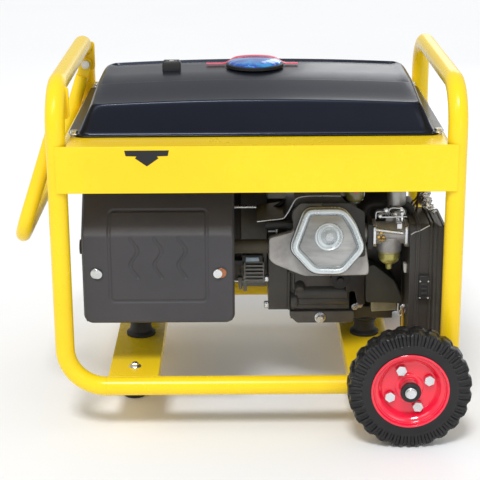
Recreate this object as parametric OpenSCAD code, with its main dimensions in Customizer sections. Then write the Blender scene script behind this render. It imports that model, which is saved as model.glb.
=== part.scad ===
// Open-frame portable generator on two wheels: tube frame, fuel tank, engine,
// alternator, muffler, control panel and a folding handle.
// Millimetres. X runs along the generator, Y from the muffler side (-) to the
// panel side (+), Z up. The origin is on the ground, at the middle of the box.

/* [Frame] */
// Distance between the centre lines of the left and right hoops
frame_length = 643; // [630:1:800]
// Distance between the centre lines of the front and rear legs
frame_width = 496; // [470:1:620]
// Height of the centre line of the top cross tubes
frame_height = 588; // [570:1:720]
// Outside diameter of the frame tube
tube_d = 32; // [26:0.5:39]
// Wall of the frame tube
tube_wall = 1.8; // [1.2:0.1:3]
// Height of the centre line of the bottom rails
rail_z = 82; // [76:1:90]
// Centre line radius of the bottom bends
bottom_bend = 68; // [50:1:82]
// Centre line radius of the top bends
top_bend = 70; // [50:1:84]
// Diameter of the end tubes
end_tube_d = 25; // [20:0.5:30]
// Height of the end tubes above the lower edge of the tank beams
end_tube_rise = 33; // [20:1:60]
// Height of a tank beam's face
beam_height = 77; // [60:1:90]
// Sheet of the tank beams
beam_sheet = 2.5; // [1.5:0.1:4]
// Width of a tank beam's top flange
beam_flange = 86; // [70:1:95]
// Width of a cross member
cross_width = 84; // [70:1:100]
// Sheet of the cross members
cross_sheet = 4; // [3:0.5:6]
// Height of the rubber engine mounts
mount_height = 36; // [30:1:44]
// Diameter of the rubber engine mounts
mount_d = 48; // [40:1:56]

/* [Wheels] */
// Diameter of a tyre
tyre_d = 204; // [190:1:216]
// Width of a tyre
tyre_width = 48; // [40:1:56]
// Diameter of the rim's bead seat
rim_d = 122; // [110:1:130]
// Diameter of the stub axles
axle_d = 16; // [12:0.5:20]
// Radial play of a hub bush on its axle
axle_play = 0.05; // [0.02:0.01:0.1]
// Distance from the right hoop's centre line back to the wheels
wheel_back = 72.5; // [66:0.5:90]
// Gap between the frame tube and the tyre
wheel_gap = 16.5; // [14:0.5:24]

/* [Handle] */
// Diameter of the handle tube
handle_d = 25; // [20:0.5:28]
// Length from the pivot to the centre line of the grip
handle_length = 234; // [200:1:285]
// Angle between the hanging handle and the vertical
handle_rest = 18.8; // [18.4:0.1:24]
// Distance from a leg's inner face inwards to the handle arm's centre line
arm_inset = 26; // [24:1:32]
// Depth of the pivot below the underside of the top tube
pivot_drop = 25; // [22:1:34]
// Diameter of the pivot bolts
pivot_d = 10; // [8:0.5:12]
// Radial play of the pivot bolts
pivot_play = 0.05; // [0.02:0.01:0.1]

/* [Tank] */
// Height of the tank above its flange
tank_rise = 77; // [60:1:80]
// Depth of the lower pressing below the flange
tank_drop = 48; // [30:1:60]
// Sheet of the tank
tank_sheet = 2; // [1.5:0.1:3]
// Diameter of the filler cap
cap_d = 100; // [84:1:110]
// Outside diameter of the filler neck
neck_d = 60; // [48:1:66]

/* [Engine] */
// Height of the crankshaft above the engine's base
crank_height = 134; // [130:1:150]
// Tilt of the cylinder above the horizontal
cylinder_tilt = 14; // [8:1:20]
// Diameter of the crankshaft journals
journal_d = 30; // [24:0.5:38]
// Radial play of the crankshaft in its bearings
journal_play = 0.05; // [0.02:0.01:0.1]
// Diameter of the cylinder bore
bore_d = 88; // [76:1:94]
// Outside diameter of the alternator
alternator_d = 184; // [170:1:196]
// Outside diameter of the blower housing
blower_d = 224; // [210:1:236]
// Length of the muffler
muffler_length = 210; // [180:1:240]
// Length of the heat shield
shield_length = 254; // [240:1:280]

/* [Hidden] */
$fn = 48;
hull_fn = 32;
gap = 0.4;
hoop_x = frame_length / 2;
leg_y = frame_width / 2;
tube_r = tube_d / 2;
rail_top = rail_z + tube_r;
beam_bottom = frame_height - 164;
beam_top = beam_bottom + beam_height;
beam_y = leg_y + tube_r;
end_tube_z = beam_bottom + end_tube_rise;

engine_x = hoop_x - 208.5;
engine_y = 20;
engine_base = rail_top + mount_height;
crank_z = engine_base + crank_height;

cross_left_x = engine_x - 322;
cross_right_x = engine_x + 83.5;
mount_y = 66;

wheel_x = hoop_x - wheel_back;
wheel_z = tyre_d / 2;
tyre_inner_y = leg_y + tube_r + wheel_gap;
tyre_outer_y = tyre_inner_y + tyre_width;
hub_inner_y = tyre_inner_y - 0.5;
hub_outer_y = tyre_outer_y - 3;
axle_plate = 5;

pivot_x = -hoop_x + 3.5;
pivot_z = frame_height - tube_r - pivot_drop;
arm_y = leg_y - tube_r - arm_inset;
eye_thick = 10;
eye_r = 11;
ear_thick = 4;
ear_y = arm_y + eye_thick / 2 + 1;

tank_l = frame_length - 26;
tank_seat = 28;
tank_w = 2 * (beam_y - beam_flange + tank_seat);
flange_z = beam_top;
tank_top = flange_z + 4 + tank_rise;
channel_front = -tank_w / 2 + 111;
channel_back = tank_w / 2 - 121;
channel_depth = 5;
neck_seat = 9;
strainer_r = neck_d / 2 - 7;
cap_base = tank_top - channel_depth + 1;
cap_top = cap_base + 15;

alt_r = alternator_d / 2;
blower_r = blower_d / 2;
head_left = -91;
head_near = 152;
head_far = 198;
cover_far = 231;
cleaner_left = 145;
cleaner_split = 159.5;
cleaner_right = 190;
carb_y = -172;
carb_z = 52;
clip_z = -52;
clip_pin = 1.5;
fill_x = 34;
fill_z = -48;
panel_left = -hoop_x + 32;
panel_width = 262;
panel_y = leg_y - 14;
panel_low = 196;
panel_high = beam_bottom - 4;
panel_depth = 56;

handle_reach = hoop_x - 3.5 + handle_length * sin(handle_rest) + handle_d / 2;
frame_reach = max(hoop_x + tube_r, wheel_x + tyre_d / 2);
frame_shift = (handle_reach - frame_reach) / 2;

// ---------------------------------------------------------------- shared shapes

function unit(v) = v / norm(v);
function turned(v, a) = [v.x * cos(a) - v.y * sin(a), v.x * sin(a) + v.y * cos(a)];

// The points of an arc of radius r that rounds the corner b between a and c
function corner(a, b, c, r, steps) =
  let (
    u = unit(a - b), v = unit(c - b),
    half = acos(u * v) / 2,
    middle = b + unit(u + v) * r / sin(half),
    from = b + u * r / tan(half) - middle,
    to = b + v * r / tan(half) - middle,
    sweep = atan2(from.x * to.y - from.y * to.x, from * to)
  )
  [for (i = [0 : steps]) middle + turned(from, sweep * i / steps)];

// An outline with every corner rounded
function rounded(points, r, steps = 4) =
  let (n = len(points))
  [for (i = [0 : n - 1]) each corner(points[(i + n - 1) % n], points[i], points[(i + 1) % n], r, steps)];

function box_outline(x0, y0, x1, y1) = [[x0, y0], [x1, y0], [x1, y1], [x0, y1]];

// A plate in the XY plane with rounded corners
module plate(x0, y0, x1, y1, h, r) {
  linear_extrude(h) polygon(rounded(box_outline(x0, y0, x1, y1), r));
}

// A flat outline in Y and Z, carried along X
module along_x(x0, x1) {
  translate([x0, 0, 0]) rotate([90, 0, 90]) linear_extrude(x1 - x0) children();
}

// A flat outline in X and Z, carried along Y
module along_y(y0, y1) {
  translate([0, y1, 0]) rotate([90, 0, 0]) linear_extrude(y1 - y0) children();
}

// Round bars along each axis, from one coordinate to another
module rod_x(x0, x1, r) {
  translate([x0, 0, 0]) rotate([0, 90, 0]) cylinder(h = x1 - x0, r = r);
}
module rod_y(y0, y1, r) {
  translate([0, y0, 0]) rotate([-90, 0, 0]) cylinder(h = y1 - y0, r = r);
}

// A copy in front and a copy behind
module front_and_back() {
  for (side = [0, 1]) mirror([0, side, 0]) children();
}

module at_frame() {
  translate([frame_shift, 0, 0]) children();
}

// The engine's own place: the crankshaft's axis at the middle of the crankcase
module at_engine() {
  translate([frame_shift + engine_x, engine_y, crank_z]) children();
}

// Z runs out along the cylinder, Y up across it
module on_cylinder() {
  rotate([90 - cylinder_tilt, 0, 0]) children();
}

// ---------------------------------------------------------------- frame

module tube_ring() {
  difference() {
    circle(tube_r);
    circle(tube_r - tube_wall);
  }
}

module tube_bend(r) {
  rotate_extrude(angle = 90) translate([r, 0]) tube_ring();
}

module tube(length, r, wall) {
  linear_extrude(length) difference() {
    circle(r);
    circle(r - wall);
  }
}

// Half of the left hoop: one leg, its top and bottom bends and half of the top tube
module half_hoop() {
  leg_low = rail_z + bottom_bend;
  leg_high = frame_height - top_bend;
  translate([-hoop_x, leg_y, leg_low]) tube(leg_high - leg_low, tube_r, tube_wall);
  translate([-hoop_x, leg_y - top_bend, leg_high]) rotate([90, 0, 90]) tube_bend(top_bend);
  translate([-hoop_x, 0, frame_height]) rotate([-90, 0, 0])
    tube(leg_y - top_bend, tube_r, tube_wall);
  translate([-hoop_x + bottom_bend, leg_y, leg_low]) rotate([0, 180, 0]) rotate([90, 0, 0])
    tube_bend(bottom_bend);
}

module hoop_left() {
  color("gold") at_frame() front_and_back() half_hoop();
}

module hoop_right() {
  color("gold") at_frame() mirror([1, 0, 0]) front_and_back() half_hoop();
}

// Solid bars where the legs run, to notch what is welded against them
module leg_cutters() {
  for (x = [-hoop_x, hoop_x], y = [-leg_y, leg_y])
    translate([x, y, rail_z]) cylinder(h = frame_height, r = tube_r);
}

module frame_tubes() {
  rail_x = hoop_x - bottom_bend;
  color("gold") at_frame() {
    front_and_back() translate([-rail_x, leg_y, rail_z]) rotate([0, 90, 0])
      tube(2 * rail_x, tube_r, tube_wall);
    for (x = [-hoop_x, hoop_x]) difference() {
      translate([x, -leg_y, end_tube_z]) rotate([-90, 0, 0])
        tube(frame_width, end_tube_d / 2, tube_wall);
      leg_cutters();
    }
  }
}

// Folded channel: a face outside the legs, a wide top flange under the tank
module tank_beam() {
  flange_x = hoop_x - tube_r - 2;
  lip = 24;
  difference() {
    union() {
      translate([-hoop_x, -beam_y - beam_sheet, beam_bottom])
        cube([frame_length, beam_sheet, beam_height]);
      translate([-flange_x, -beam_y - 1, beam_top - beam_sheet])
        cube([2 * flange_x, beam_flange, beam_sheet]);
      translate([-flange_x, -beam_y - 1, beam_bottom])
        cube([2 * flange_x, lip, beam_sheet]);
    }
    tank_bolt_holes(4.4);
  }
}

module tank_beams() {
  color("gold") at_frame() front_and_back() tank_beam();
}

tank_bolt_x = tank_l / 2 - 11;
tank_bolt_y = tank_w / 2 - 11;
module tank_bolt_holes(r) {
  for (x = [-tank_bolt_x, tank_bolt_x], y = [-tank_bolt_y, tank_bolt_y])
    translate([x, y, flange_z - 20]) cylinder(h = 40, r = r);
}

// Folded channel that bridges the two rails
module cross_member(x) {
  skirt = 24;
  half = cross_width / 2;
  difference() {
    translate([x, 0, 0]) {
      translate([-half, -leg_y, rail_top - cross_sheet]) cube([cross_width, frame_width, cross_sheet]);
      for (side = [-half, half - cross_sheet])
        translate([side, -leg_y, rail_top - skirt]) cube([cross_sheet, frame_width, skirt]);
    }
    for (y = [-leg_y, leg_y])
      translate([x - cross_width, y, rail_z]) rod_x(0, 2 * cross_width, tube_r);
  }
}

module cross_members() {
  color("gold") at_frame() {
    cross_member(cross_left_x);
    cross_member(cross_right_x);
  }
}

foot_pad = 16;
leg_side = 30;
support_y = 95;
module support_legs() {
  color("gold") at_frame() front_and_back()
    translate([cross_left_x - 10, support_y, foot_pad]) difference() {
      translate([-leg_side / 2, -leg_side / 2, 0])
        cube([leg_side, leg_side, rail_top - cross_sheet - foot_pad]);
      translate([-leg_side / 2 + 3, -leg_side / 2 + 3, 3])
        cube([leg_side - 6, leg_side - 6, rail_top]);
    }
}

module rubber_feet() {
  color("dimgray") at_frame() front_and_back()
    translate([cross_left_x - 10, support_y, 0]) rotate_extrude()
      polygon([[0, 0], [20, 0], [22, 3], [20, foot_pad], [0, foot_pad]]);
}

// Waisted rubber bobbins between the cross members and the machine
module engine_mounts() {
  r = mount_d / 2;
  color("dimgray") at_frame()
    for (x = [cross_left_x, cross_right_x], y = [engine_y - mount_y, engine_y + mount_y])
      translate([x, y, rail_top]) rotate_extrude()
        polygon([[0, 0], [r, 0], [r, 4], [r - 4, mount_height / 2], [r, mount_height - 4],
                 [r, mount_height], [0, mount_height]]);
}

// ---------------------------------------------------------------- wheels

// Welded bracket plate with its stub axle and collar
module axle_stub() {
  plate_y = leg_y + tube_r;
  collar_r = axle_d / 2 + 6;
  along_y(plate_y, plate_y + axle_plate) polygon(rounded(
    box_outline(wheel_x - 26, rail_z - tube_r, wheel_x + 26, wheel_z + 26), 8));
  translate([wheel_x, 0, wheel_z]) {
    rod_y(plate_y, hub_outer_y + 12, axle_d / 2);
    rod_y(plate_y, hub_inner_y - 0.5, collar_r);
  }
}

module axle_stubs() {
  color("gold") at_frame() front_and_back() axle_stub();
}

// A washer and a flanged nut on the end of each axle
module axle_nuts() {
  color("silver") at_frame() front_and_back() translate([wheel_x, 0, wheel_z]) difference() {
    union() {
      rod_y(hub_outer_y + 0.5, hub_outer_y + 3, 17);
      translate([0, hub_outer_y + 3, 0]) rotate([-90, 0, 0]) cylinder(h = 8, r = axle_d / 2 + 5, $fn = 6);
    }
    rod_y(hub_outer_y, hub_outer_y + 20, axle_d / 2);
  }
}

// Half section of a tyre, from the bead at radius r0 out to the tread
module tyre_section() {
  r0 = rim_d / 2;
  r1 = tyre_d / 2;
  w = tyre_width;
  wall = 6;
  difference() {
    polygon(rounded([[r0, 4.2], [r0 + 7, 4.2], [r1 - 20, 0], [r1, 6], [r1, w - 6], [r1 - 20, w],
                     [r0 + 7, w - 4.2], [r0, w - 4.2]], 2));
    polygon(rounded([[r0 - 1, 11], [r1 - 22, wall], [r1 - wall - 2, 12], [r1 - wall - 2, w - 12],
                     [r1 - 22, w - wall], [r0 - 1, w - 11]], 2));
  }
}

module tyre() {
  translate([wheel_x, tyre_inner_y, wheel_z]) rotate([-90, 0, 0]) rotate_extrude() tyre_section();
}

clamp_pcd = 70;
clamp_r = 5;
clamp_turn = 66;
// Two pressed discs back to back, with the barrel that carries the tyre
module rim_section() {
  seat = rim_d / 2;
  w = tyre_width;
  hub = axle_d / 2 + 6;
  web = w - 19;
  polygon([[seat - 3, 4], [seat, 4], [seat, w - 4], [seat - 3, w - 4]]);
  polygon([[seat - 3, w - 4], [seat - 3, w - 2], [seat + 4, w - 2], [seat + 4, w - 3.2], [seat, w - 4]]);
  polygon([[seat - 3, 2], [seat - 3, 4], [seat, 4], [seat + 4, 3.2], [seat + 4, 2]]);
  polygon([[hub, web - 3], [46, web - 3], [seat - 4, web + 5], [seat - 2.5, web + 5],
           [seat - 2.5, web + 9], [seat - 6, web + 9], [45, web + 1], [hub, web + 1]]);
}

module rim() {
  translate([wheel_x, tyre_inner_y, wheel_z]) rotate([-90, 0, 0]) difference() {
    rotate_extrude() rim_section();
    for (a = [0 : 90 : 270]) rotate(a + clamp_turn) translate([clamp_pcd / 2, 0, 0])
      cylinder(h = tyre_width, r = clamp_r);
  }
}

// The hub bush that runs on the axle, and the four bolts that clamp the discs
module hub() {
  web = tyre_inner_y + tyre_width - 19;
  translate([wheel_x, 0, wheel_z]) {
    difference() {
      rod_y(hub_inner_y, hub_outer_y, axle_d / 2 + 6);
      rod_y(hub_inner_y - 1, hub_outer_y + 1, axle_d / 2 + axle_play);
    }
    for (a = [0 : 90 : 270]) rotate([0, a + clamp_turn, 0]) translate([clamp_pcd / 2, 0, 0]) {
      rod_y(web - 9, web + 5, clamp_r);
      translate([0, web + 1, 0]) rotate([-90, 0, 0]) cylinder(h = 6, r = 9, $fn = 6);
      translate([0, web - 9, 0]) rotate([-90, 0, 0]) cylinder(h = 6, r = 9, $fn = 6);
    }
  }
}

module tyre_front() { color("dimgray") at_frame() mirror([0, 1, 0]) tyre(); }
module rim_front() { color("crimson") at_frame() mirror([0, 1, 0]) rim(); }
module hub_front() { color("silver") at_frame() mirror([0, 1, 0]) hub(); }
module tyre_rear() { color("dimgray") at_frame() tyre(); }
module rim_rear() { color("crimson") at_frame() rim(); }
module hub_rear() { color("silver") at_frame() hub(); }

// ---------------------------------------------------------------- handle

ear_low = pivot_z - 12;
// Ear plates welded below the left hoop's top bends, drilled for the pivot bolts
module handle_ear() {
  leg_high = frame_height - top_bend;
  difference() {
    along_y(ear_y, ear_y + ear_thick) polygon(rounded(
      box_outline(-hoop_x - 14, ear_low, -hoop_x + tube_r + 4, frame_height), 6));
    translate([pivot_x, 0, pivot_z]) rod_y(0, leg_y, pivot_d / 2);
    translate([-hoop_x, leg_y - top_bend, leg_high]) rotate([90, 0, 90])
      rotate_extrude(angle = 90) translate([top_bend, 0]) circle(tube_r);
  }
}

module handle_ears() {
  color("gold") at_frame() front_and_back() handle_ear();
}

module handle_bolts() {
  color("silver") at_frame() front_and_back() translate([pivot_x, 0, pivot_z]) {
    rod_y(arm_y - eye_thick / 2 - 1, ear_y + ear_thick, pivot_d / 2);
    rod_y(arm_y - eye_thick / 2 - 6, arm_y - eye_thick / 2 - 1, 8);
  }
}

// U of tube hanging from two flattened eyes; its corners are bent to one radius
module handle_half() {
  bend = 50;
  r = handle_d / 2;
  neck = 24;
  difference() {
    union() {
      rod_y(arm_y - eye_thick / 2, arm_y + eye_thick / 2, eye_r);
      translate([-eye_r, arm_y - eye_thick / 2, -neck - 6]) cube([2 * eye_r, eye_thick, neck + 6]);
      translate([0, arm_y, -handle_length + bend]) cylinder(h = handle_length - bend - neck, r = r);
    }
    rod_y(0, leg_y, pivot_d / 2 + pivot_play);
  }
  translate([0, arm_y - bend, -handle_length + bend]) rotate([0, 90, 0])
    rotate_extrude(angle = 90) translate([bend, 0]) circle(r);
  translate([0, 0, -handle_length]) rod_y(0, arm_y - bend, r);
}

module handle_bar() {
  color("gold") at_frame() translate([pivot_x, 0, pivot_z]) rotate([0, handle_rest, 0])
    front_and_back() handle_half();
}

// ---------------------------------------------------------------- tank

// The tank's body: walls that lean in, a ridge, then a gentle roof
module tank_form(inset) {
  l = tank_l / 2 - 9 - inset;
  w = tank_w / 2 - 11 - inset;
  base = flange_z + 4;
  ridge = base + tank_rise * 0.62 - inset;
  hull() {
    translate([0, 0, base]) plate(-l, -w, l, w, 1, 30);
    translate([0, 0, ridge - 7]) plate(-l + 20, -w + 9, l - 24, w - 9, 7, 20);
    translate([0, 0, tank_top - inset - 6]) plate(-l + 32, -w + 80, l - 36, w - 80, 6, 12);
  }
}

module tank_channel(margin, low, high) {
  translate([-tank_l / 2 + 60 - margin, channel_front - margin, low])
    cube([tank_l - 124 + 2 * margin, channel_back - channel_front + 2 * margin, high - low]);
}

// Upper pressing with its flange, the sunk channel in the roof and the filler neck
module tank_upper() {
  neck = neck_d / 2;
  channel_floor = tank_top - channel_depth;
  color("midnightblue") at_frame() difference() {
    union() {
      difference() {
        union() {
          difference() {
            union() {
              tank_form(0);
              translate([0, 0, flange_z])
                plate(-tank_l / 2, -tank_w / 2, tank_l / 2, tank_w / 2, 4, 6);
            }
            tank_form(tank_sheet);
            translate([0, 0, flange_z - 1])
              plate(-tank_l / 2 + 22, -tank_w / 2 + 22, tank_l / 2 - 22, tank_w / 2 - 22, 7, 26);
          }
          tank_channel(tank_sheet, channel_floor - tank_sheet, tank_top - tank_sheet / 2);
        }
        tank_channel(0, channel_floor, tank_top + 5);
      }
      translate([0, 0, tank_top - 26]) cylinder(h = 26 + neck_seat - channel_depth, r = neck);
    }
    translate([0, 0, tank_top - 40]) cylinder(h = 60, r = neck - 3);
    tank_bolt_holes(4.4);
  }
}

// The lower pressing hangs between the beams and closes the tank
module tank_lower() {
  l = tank_l / 2 - 26;
  w = tank_w / 2 - 30;
  s = tank_sheet;
  color("midnightblue") at_frame() difference() {
    union() {
      translate([0, 0, flange_z - tank_drop]) plate(-l, -w, l, w, tank_drop, 24);
      translate([0, 0, flange_z - 0.1 - s]) plate(-l - 3, -w - 3, l + 3, w + 3, s, 24);
    }
    translate([0, 0, flange_z - tank_drop + s]) plate(-l + s, -w + s, l - s, w - s, tank_drop, 22);
  }
}

// Basket that hangs in the filler neck by its rim
module fuel_strainer() {
  seat = tank_top + neck_seat - channel_depth;
  depth = 55;
  color("gainsboro") at_frame() translate([0, 0, seat]) rotate_extrude()
    polygon([[0, -depth], [strainer_r, -depth], [strainer_r, 0], [neck_d / 2 - 1, 0],
             [neck_d / 2 - 1, 1], [strainer_r - 1.5, 1], [strainer_r - 1.5, 1.5 - depth],
             [0, 1.5 - depth]]);
}

// Bayonet cap: dark skirt below, domed metal top
module fuel_cap() {
  r = cap_d / 2;
  clear = neck_d / 2 + gap;
  color("royalblue") at_frame() translate([0, 0, cap_base]) rotate_extrude()
    polygon([[clear, 0.5], [r - 8, 0.5], [r - 4, 4], [r - 4, 6], [r, 8], [r - 1, 11],
             [r - 5, 13.5], [r - 14, 15], [0, 15], [0, 10.5], [clear, 10.5]]);
}

// Soft tag laid over the cap, its two ends resting near the tank's channel
module cap_tag() {
  r = cap_d / 2;
  low = cap_base + 1;
  top = cap_top + 0.4;
  left = [[-r - 50, low], [-r - 22, low], [-r - 6, cap_base + 8], [-r + 7, top], [r - 7, top]];
  right = [[r + 6, cap_base + 8], [r + 14, low], [r + 26, low]];
  path = concat(left, right);
  n = len(path);
  thick = 1.2;
  over = [for (i = [n - 1 : -1 : 0]) path[i] + [0, abs(path[i].x) < r + 10 ? thick + 0.4 : thick]];
  color("red") at_frame() along_y(-4, 36) polygon(concat(path, over));
}

gauge_x = -145;
gauge_h = 14;
module fuel_gauge() {
  color("dimgray") at_frame() translate([gauge_x, -6, tank_top - channel_depth]) difference() {
    hull() {
      plate(-16, -12, 16, 12, gauge_h - 6, 4, $fn = hull_fn);
      plate(-14, -9, 14, 10, gauge_h, 4, $fn = hull_fn);
    }
    translate([-10, -6, gauge_h - 1]) cube([20, 13, 2]);
  }
}

tap_x = engine_x + 55;
tap_y = engine_y + carb_y + 10;
tap_top = flange_z - tank_drop;
// Tap on the tank's underside, with its sediment cup
module fuel_tap() {
  color("silver") at_frame() translate([tap_x, tap_y, tap_top]) difference() {
    union() {
      rotate_extrude() polygon([[0, -80], [13, -80], [15, -76], [15, -54], [12, -52], [12, -18],
                                [7, -16], [7, 0], [0, 0]]);
      translate([0, 0, -46]) rod_x(0, 20, 3);
      translate([0, 0, -34]) rod_y(-15, 0, 9);
    }
    translate([0, 0, -34]) rod_y(-20, -9, 4);
  }
}

module tap_lever() {
  color("crimson") at_frame() translate([tap_x, tap_y, tap_top - 34]) {
    rod_y(-15 - gap - 4, -10, 3.95);
    rod_y(-15 - gap - 5, -15 - gap, 8);
    translate([-3.5, -15 - gap - 5, -26]) cube([7, 5, 24]);
  }
}

// Hose from the tap, along and down into the carburettor
module fuel_hose() {
  r = 4;
  turn = 14;
  z = tap_top - 46;
  end_x = engine_x + 113;
  end_z = crank_z + carb_z + 26;
  color("dimgray") at_frame() translate([0, tap_y, 0]) {
    difference() {
      translate([0, 0, z]) rod_x(tap_x + 14, end_x - turn, r);
      translate([0, 0, z]) rod_x(tap_x, tap_x + 20, 3);
    }
    translate([end_x - turn, 0, z - turn]) rotate([90, 0, 0])
      rotate_extrude(angle = 90) translate([turn, 0]) circle(r);
    translate([end_x, 0, end_z]) cylinder(h = z - turn - end_z, r = r);
  }
}

// ---------------------------------------------------------------- exhaust

muffler_right = -171;
muffler_y = -178;
muffler_z = 2;
screw_z = 4;
screw_x = [-178, -378];
shield_right = -150;
shield_y = -240;

// Oval silencer with its inlet pipe, outlet stub, bracket and shield stand-offs
module muffler() {
  r = 48;
  rise = 22;
  left = muffler_right - muffler_length;
  color("dimgray") at_engine() {
    difference() {
      along_x(left, muffler_right) hull() for (side = [-1, 1])
        translate([muffler_y, muffler_z + side * rise]) circle(r, $fn = hull_fn);
      along_x(left + 2, muffler_right - 2) hull() for (side = [-1, 1])
        translate([muffler_y, muffler_z + side * rise]) circle(r - 2, $fn = hull_fn);
      translate([0, muffler_y, muffler_z + 30]) rod_x(left - 1, left + 5, 10.5);
    }
    translate([0, muffler_y, muffler_z + 30]) difference() {
      rod_x(left - 32, left, 12.5);
      rod_x(left - 40, left + 1, 10.5);
    }
    translate([0, muffler_y, muffler_z + 29]) rod_x(muffler_right, head_left - 0.2, 12);
    for (x = screw_x) translate([x, 0, screw_z]) difference() {
      rod_y(shield_y + 2.4, muffler_y - 46.5, 7);
      rod_y(shield_y, muffler_y - 50, 3);
    }
    difference() {
      translate([left + 121, muffler_y + r - 1, muffler_z - 20]) cube([40, 60, 4]);
      rod_x(left, muffler_right, alt_r);
    }
  }
}

// Shield sheet: upright face, then a top that leans back over the silencer
module muffler_shield() {
  s = 2;
  left = shield_right - shield_length;
  low = -85;
  bend = 68;
  lean = [52, 72];
  color("dimgray") at_engine() difference() {
    union() {
      along_y(shield_y, shield_y + s) polygon(concat(
        corner([left, bend], [left, low], [shield_right, low], 16, 5),
        corner([left, low], [shield_right, low], [shield_right, bend], 16, 5),
        [[shield_right, bend], [left, bend]]));
      along_x(left, shield_right) polygon([
        [shield_y, bend], [shield_y + lean.x, bend + lean.y],
        [shield_y + lean.x + s, bend + lean.y - s], [shield_y + s, bend - 1]]);
      for (x = [left, shield_right - s]) along_x(x, x + s) polygon([
        [shield_y, low + 18], [shield_y + 18, low + 18], [shield_y + 18, bend - 4],
        [shield_y + lean.x + s, bend + lean.y - 18], [shield_y + lean.x, bend + lean.y],
        [shield_y, bend]]);
    }
    for (x = screw_x) translate([x, 0, screw_z]) rod_y(shield_y - 1, shield_y + s + 0.4, 3.2);
  }
}

// ---------------------------------------------------------------- engine

case_left = -51;
case_right = 52;
case_front = -112;
case_back = 92;
cavity_r = 62;
foot_h = 22;
foot_front = 59;
foot_right = 131;
foot_step = 22;

// Section of the crankcase across the shaft
function case_outline(inset) = rounded([
  [case_front + inset, -crank_height + foot_h], [case_back - inset, -crank_height + foot_h],
  [case_back - inset, 50], [64, 76 - inset], [-30, 76 - inset], [-80, 50],
  [case_front + inset, 10]], 8);

cover_bolts = [[-104, -102], [-104, -52], [80, -102]];

module crankcase() {
  color("darkslategray") at_engine() difference() {
    union() {
      along_x(case_left, case_right) polygon(case_outline(0));
      along_y(case_front, case_back) translate([0, -crank_height]) polygon([
        [case_left + 12, 0], [foot_front, 0], [foot_front, foot_h], [case_left, foot_h], [case_left, 12]]);
      translate([case_left, case_front + foot_step, -crank_height])
        cube([foot_right - case_left, case_back - case_front - foot_step, foot_h]);
      on_cylinder() translate([-50, -56, 30]) cube([100, 112, head_near - 30.2]);
      translate([0, case_front + 10, -80]) rod_x(case_left + 6, case_right - 4, 18);
    }
    rod_x(case_left - 1, case_right - 8, cavity_r);
    rod_x(case_left, case_right + 1, journal_d / 2 + journal_play);
    on_cylinder() cylinder(h = head_near + 1, r = bore_d / 2);
    translate([fill_x, case_front - 10, fill_z]) rod_y(0, 40, 9);
  }
}

// Cover that carries the output-side bearing, bolted to the open side of the case
module side_cover() {
  color("darkslategray") at_engine() difference() {
    union() {
      along_x(head_left, case_left - 0.1) polygon(case_outline(3));
      rod_x(head_left - 2, head_left, 70);
    }
    rod_x(-83, case_left, cavity_r - 4);
    rod_x(-100, case_left, journal_d / 2 + journal_play);
  }
}

plug_y = -164;
plug_z = 65;
head_outline = [[head_left, -34], [-82, -42], [-32, -62], [76, -61], [76, -46], [68, 10], [68, 44],
                [44, 58], [-38, 58], [-50, 46], [-50, 12], [head_left, 1]];
module cylinder_head() {
  port_x = 68;
  color("silver") at_engine() {
    difference() {
      on_cylinder() difference() {
        translate([0, 0, head_near]) linear_extrude(head_far - head_near) polygon(rounded(head_outline, 6));
        translate([0, 0, head_near - 1]) cylinder(h = 12, r = bore_d / 2 - 4);
      }
      translate([0, carb_y, carb_z]) rod_x(40, 90, 10);
      translate([0, plug_y, plug_z]) rod_x(-100, -30, 6);
    }
    translate([0, carb_y, carb_z]) difference() {
      rod_x(port_x - 10, 82.6, 16);
      rod_x(port_x - 20, 90, 10);
    }
  }
}

// Seven-sided pressed cover with a raised rim and a round boss
function cover_outline() = rounded([
  [-38, 55], [-64, -13], [-26, -54], [24, -55], [61, -13], [45, 30], [26, 55]], 10);
module valve_cover() {
  color("silver") at_engine() on_cylinder() translate([8, -3, 0]) {
    difference() {
      translate([0, 0, head_far + 0.1]) linear_extrude(cover_far - 4 - head_far) polygon(cover_outline());
      translate([0, 0, head_far - 1]) linear_extrude(cover_far - 8 - head_far) offset(delta = -3)
        polygon(cover_outline());
    }
    translate([0, 0, cover_far - 4.2]) linear_extrude(4.2) difference() {
      polygon(cover_outline());
      offset(delta = -8) polygon(cover_outline());
    }
    translate([0, 8, cover_far - 4.2]) cylinder(h = 9, r = 23);
  }
}

// Pressed steel cowl: blower drum round the flywheel and the sheet over the cylinder
module cooling_shroud() {
  right = 122;
  left = case_right + 2;
  color("dimgray") at_engine() {
    difference() {
      rod_x(left, right, blower_r);
      rod_x(left - 1, right - 2, blower_r - 2);
      rod_x(right - 5, right + 1, 72);
    }
    along_y(-172, -75) polygon([[-112, 74], [-66, 80], [-48, 112], [-22, 118], [30, 118], [30, 116],
                                [-21, 116], [-46.5, 110.5], [-64.5, 78], [-112, 72]]);
  }
}

module flywheel() {
  fins = 16;
  color("gray") at_engine() difference() {
    union() {
      rod_x(60, 84, 92);
      for (i = [0 : fins - 1]) rotate([360 * i / fins, 0, 0])
        translate([84, 56, -2]) cube([16, 34, 4]);
      rod_x(84, 100, 30);
    }
    rod_x(50, 110, journal_d / 2 - 3);
  }
}

recoil_left = 122.1;
module recoil_cover() {
  slots = 12;
  color("dimgray") at_engine() difference() {
    translate([recoil_left, 0, 0]) rotate([0, 90, 0]) rotate_extrude()
      polygon([[0, 26], [60, 26], [80, 16], [84, 2], [88, 2], [88, 0], [82, 0], [78, 14], [58, 23.5],
               [0, 23.5]]);
    for (i = [0 : slots - 1]) rotate([360 * i / slots, 0, 0])
      translate([recoil_left, 34, -3]) cube([40, 20, 6]);
  }
}

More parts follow.
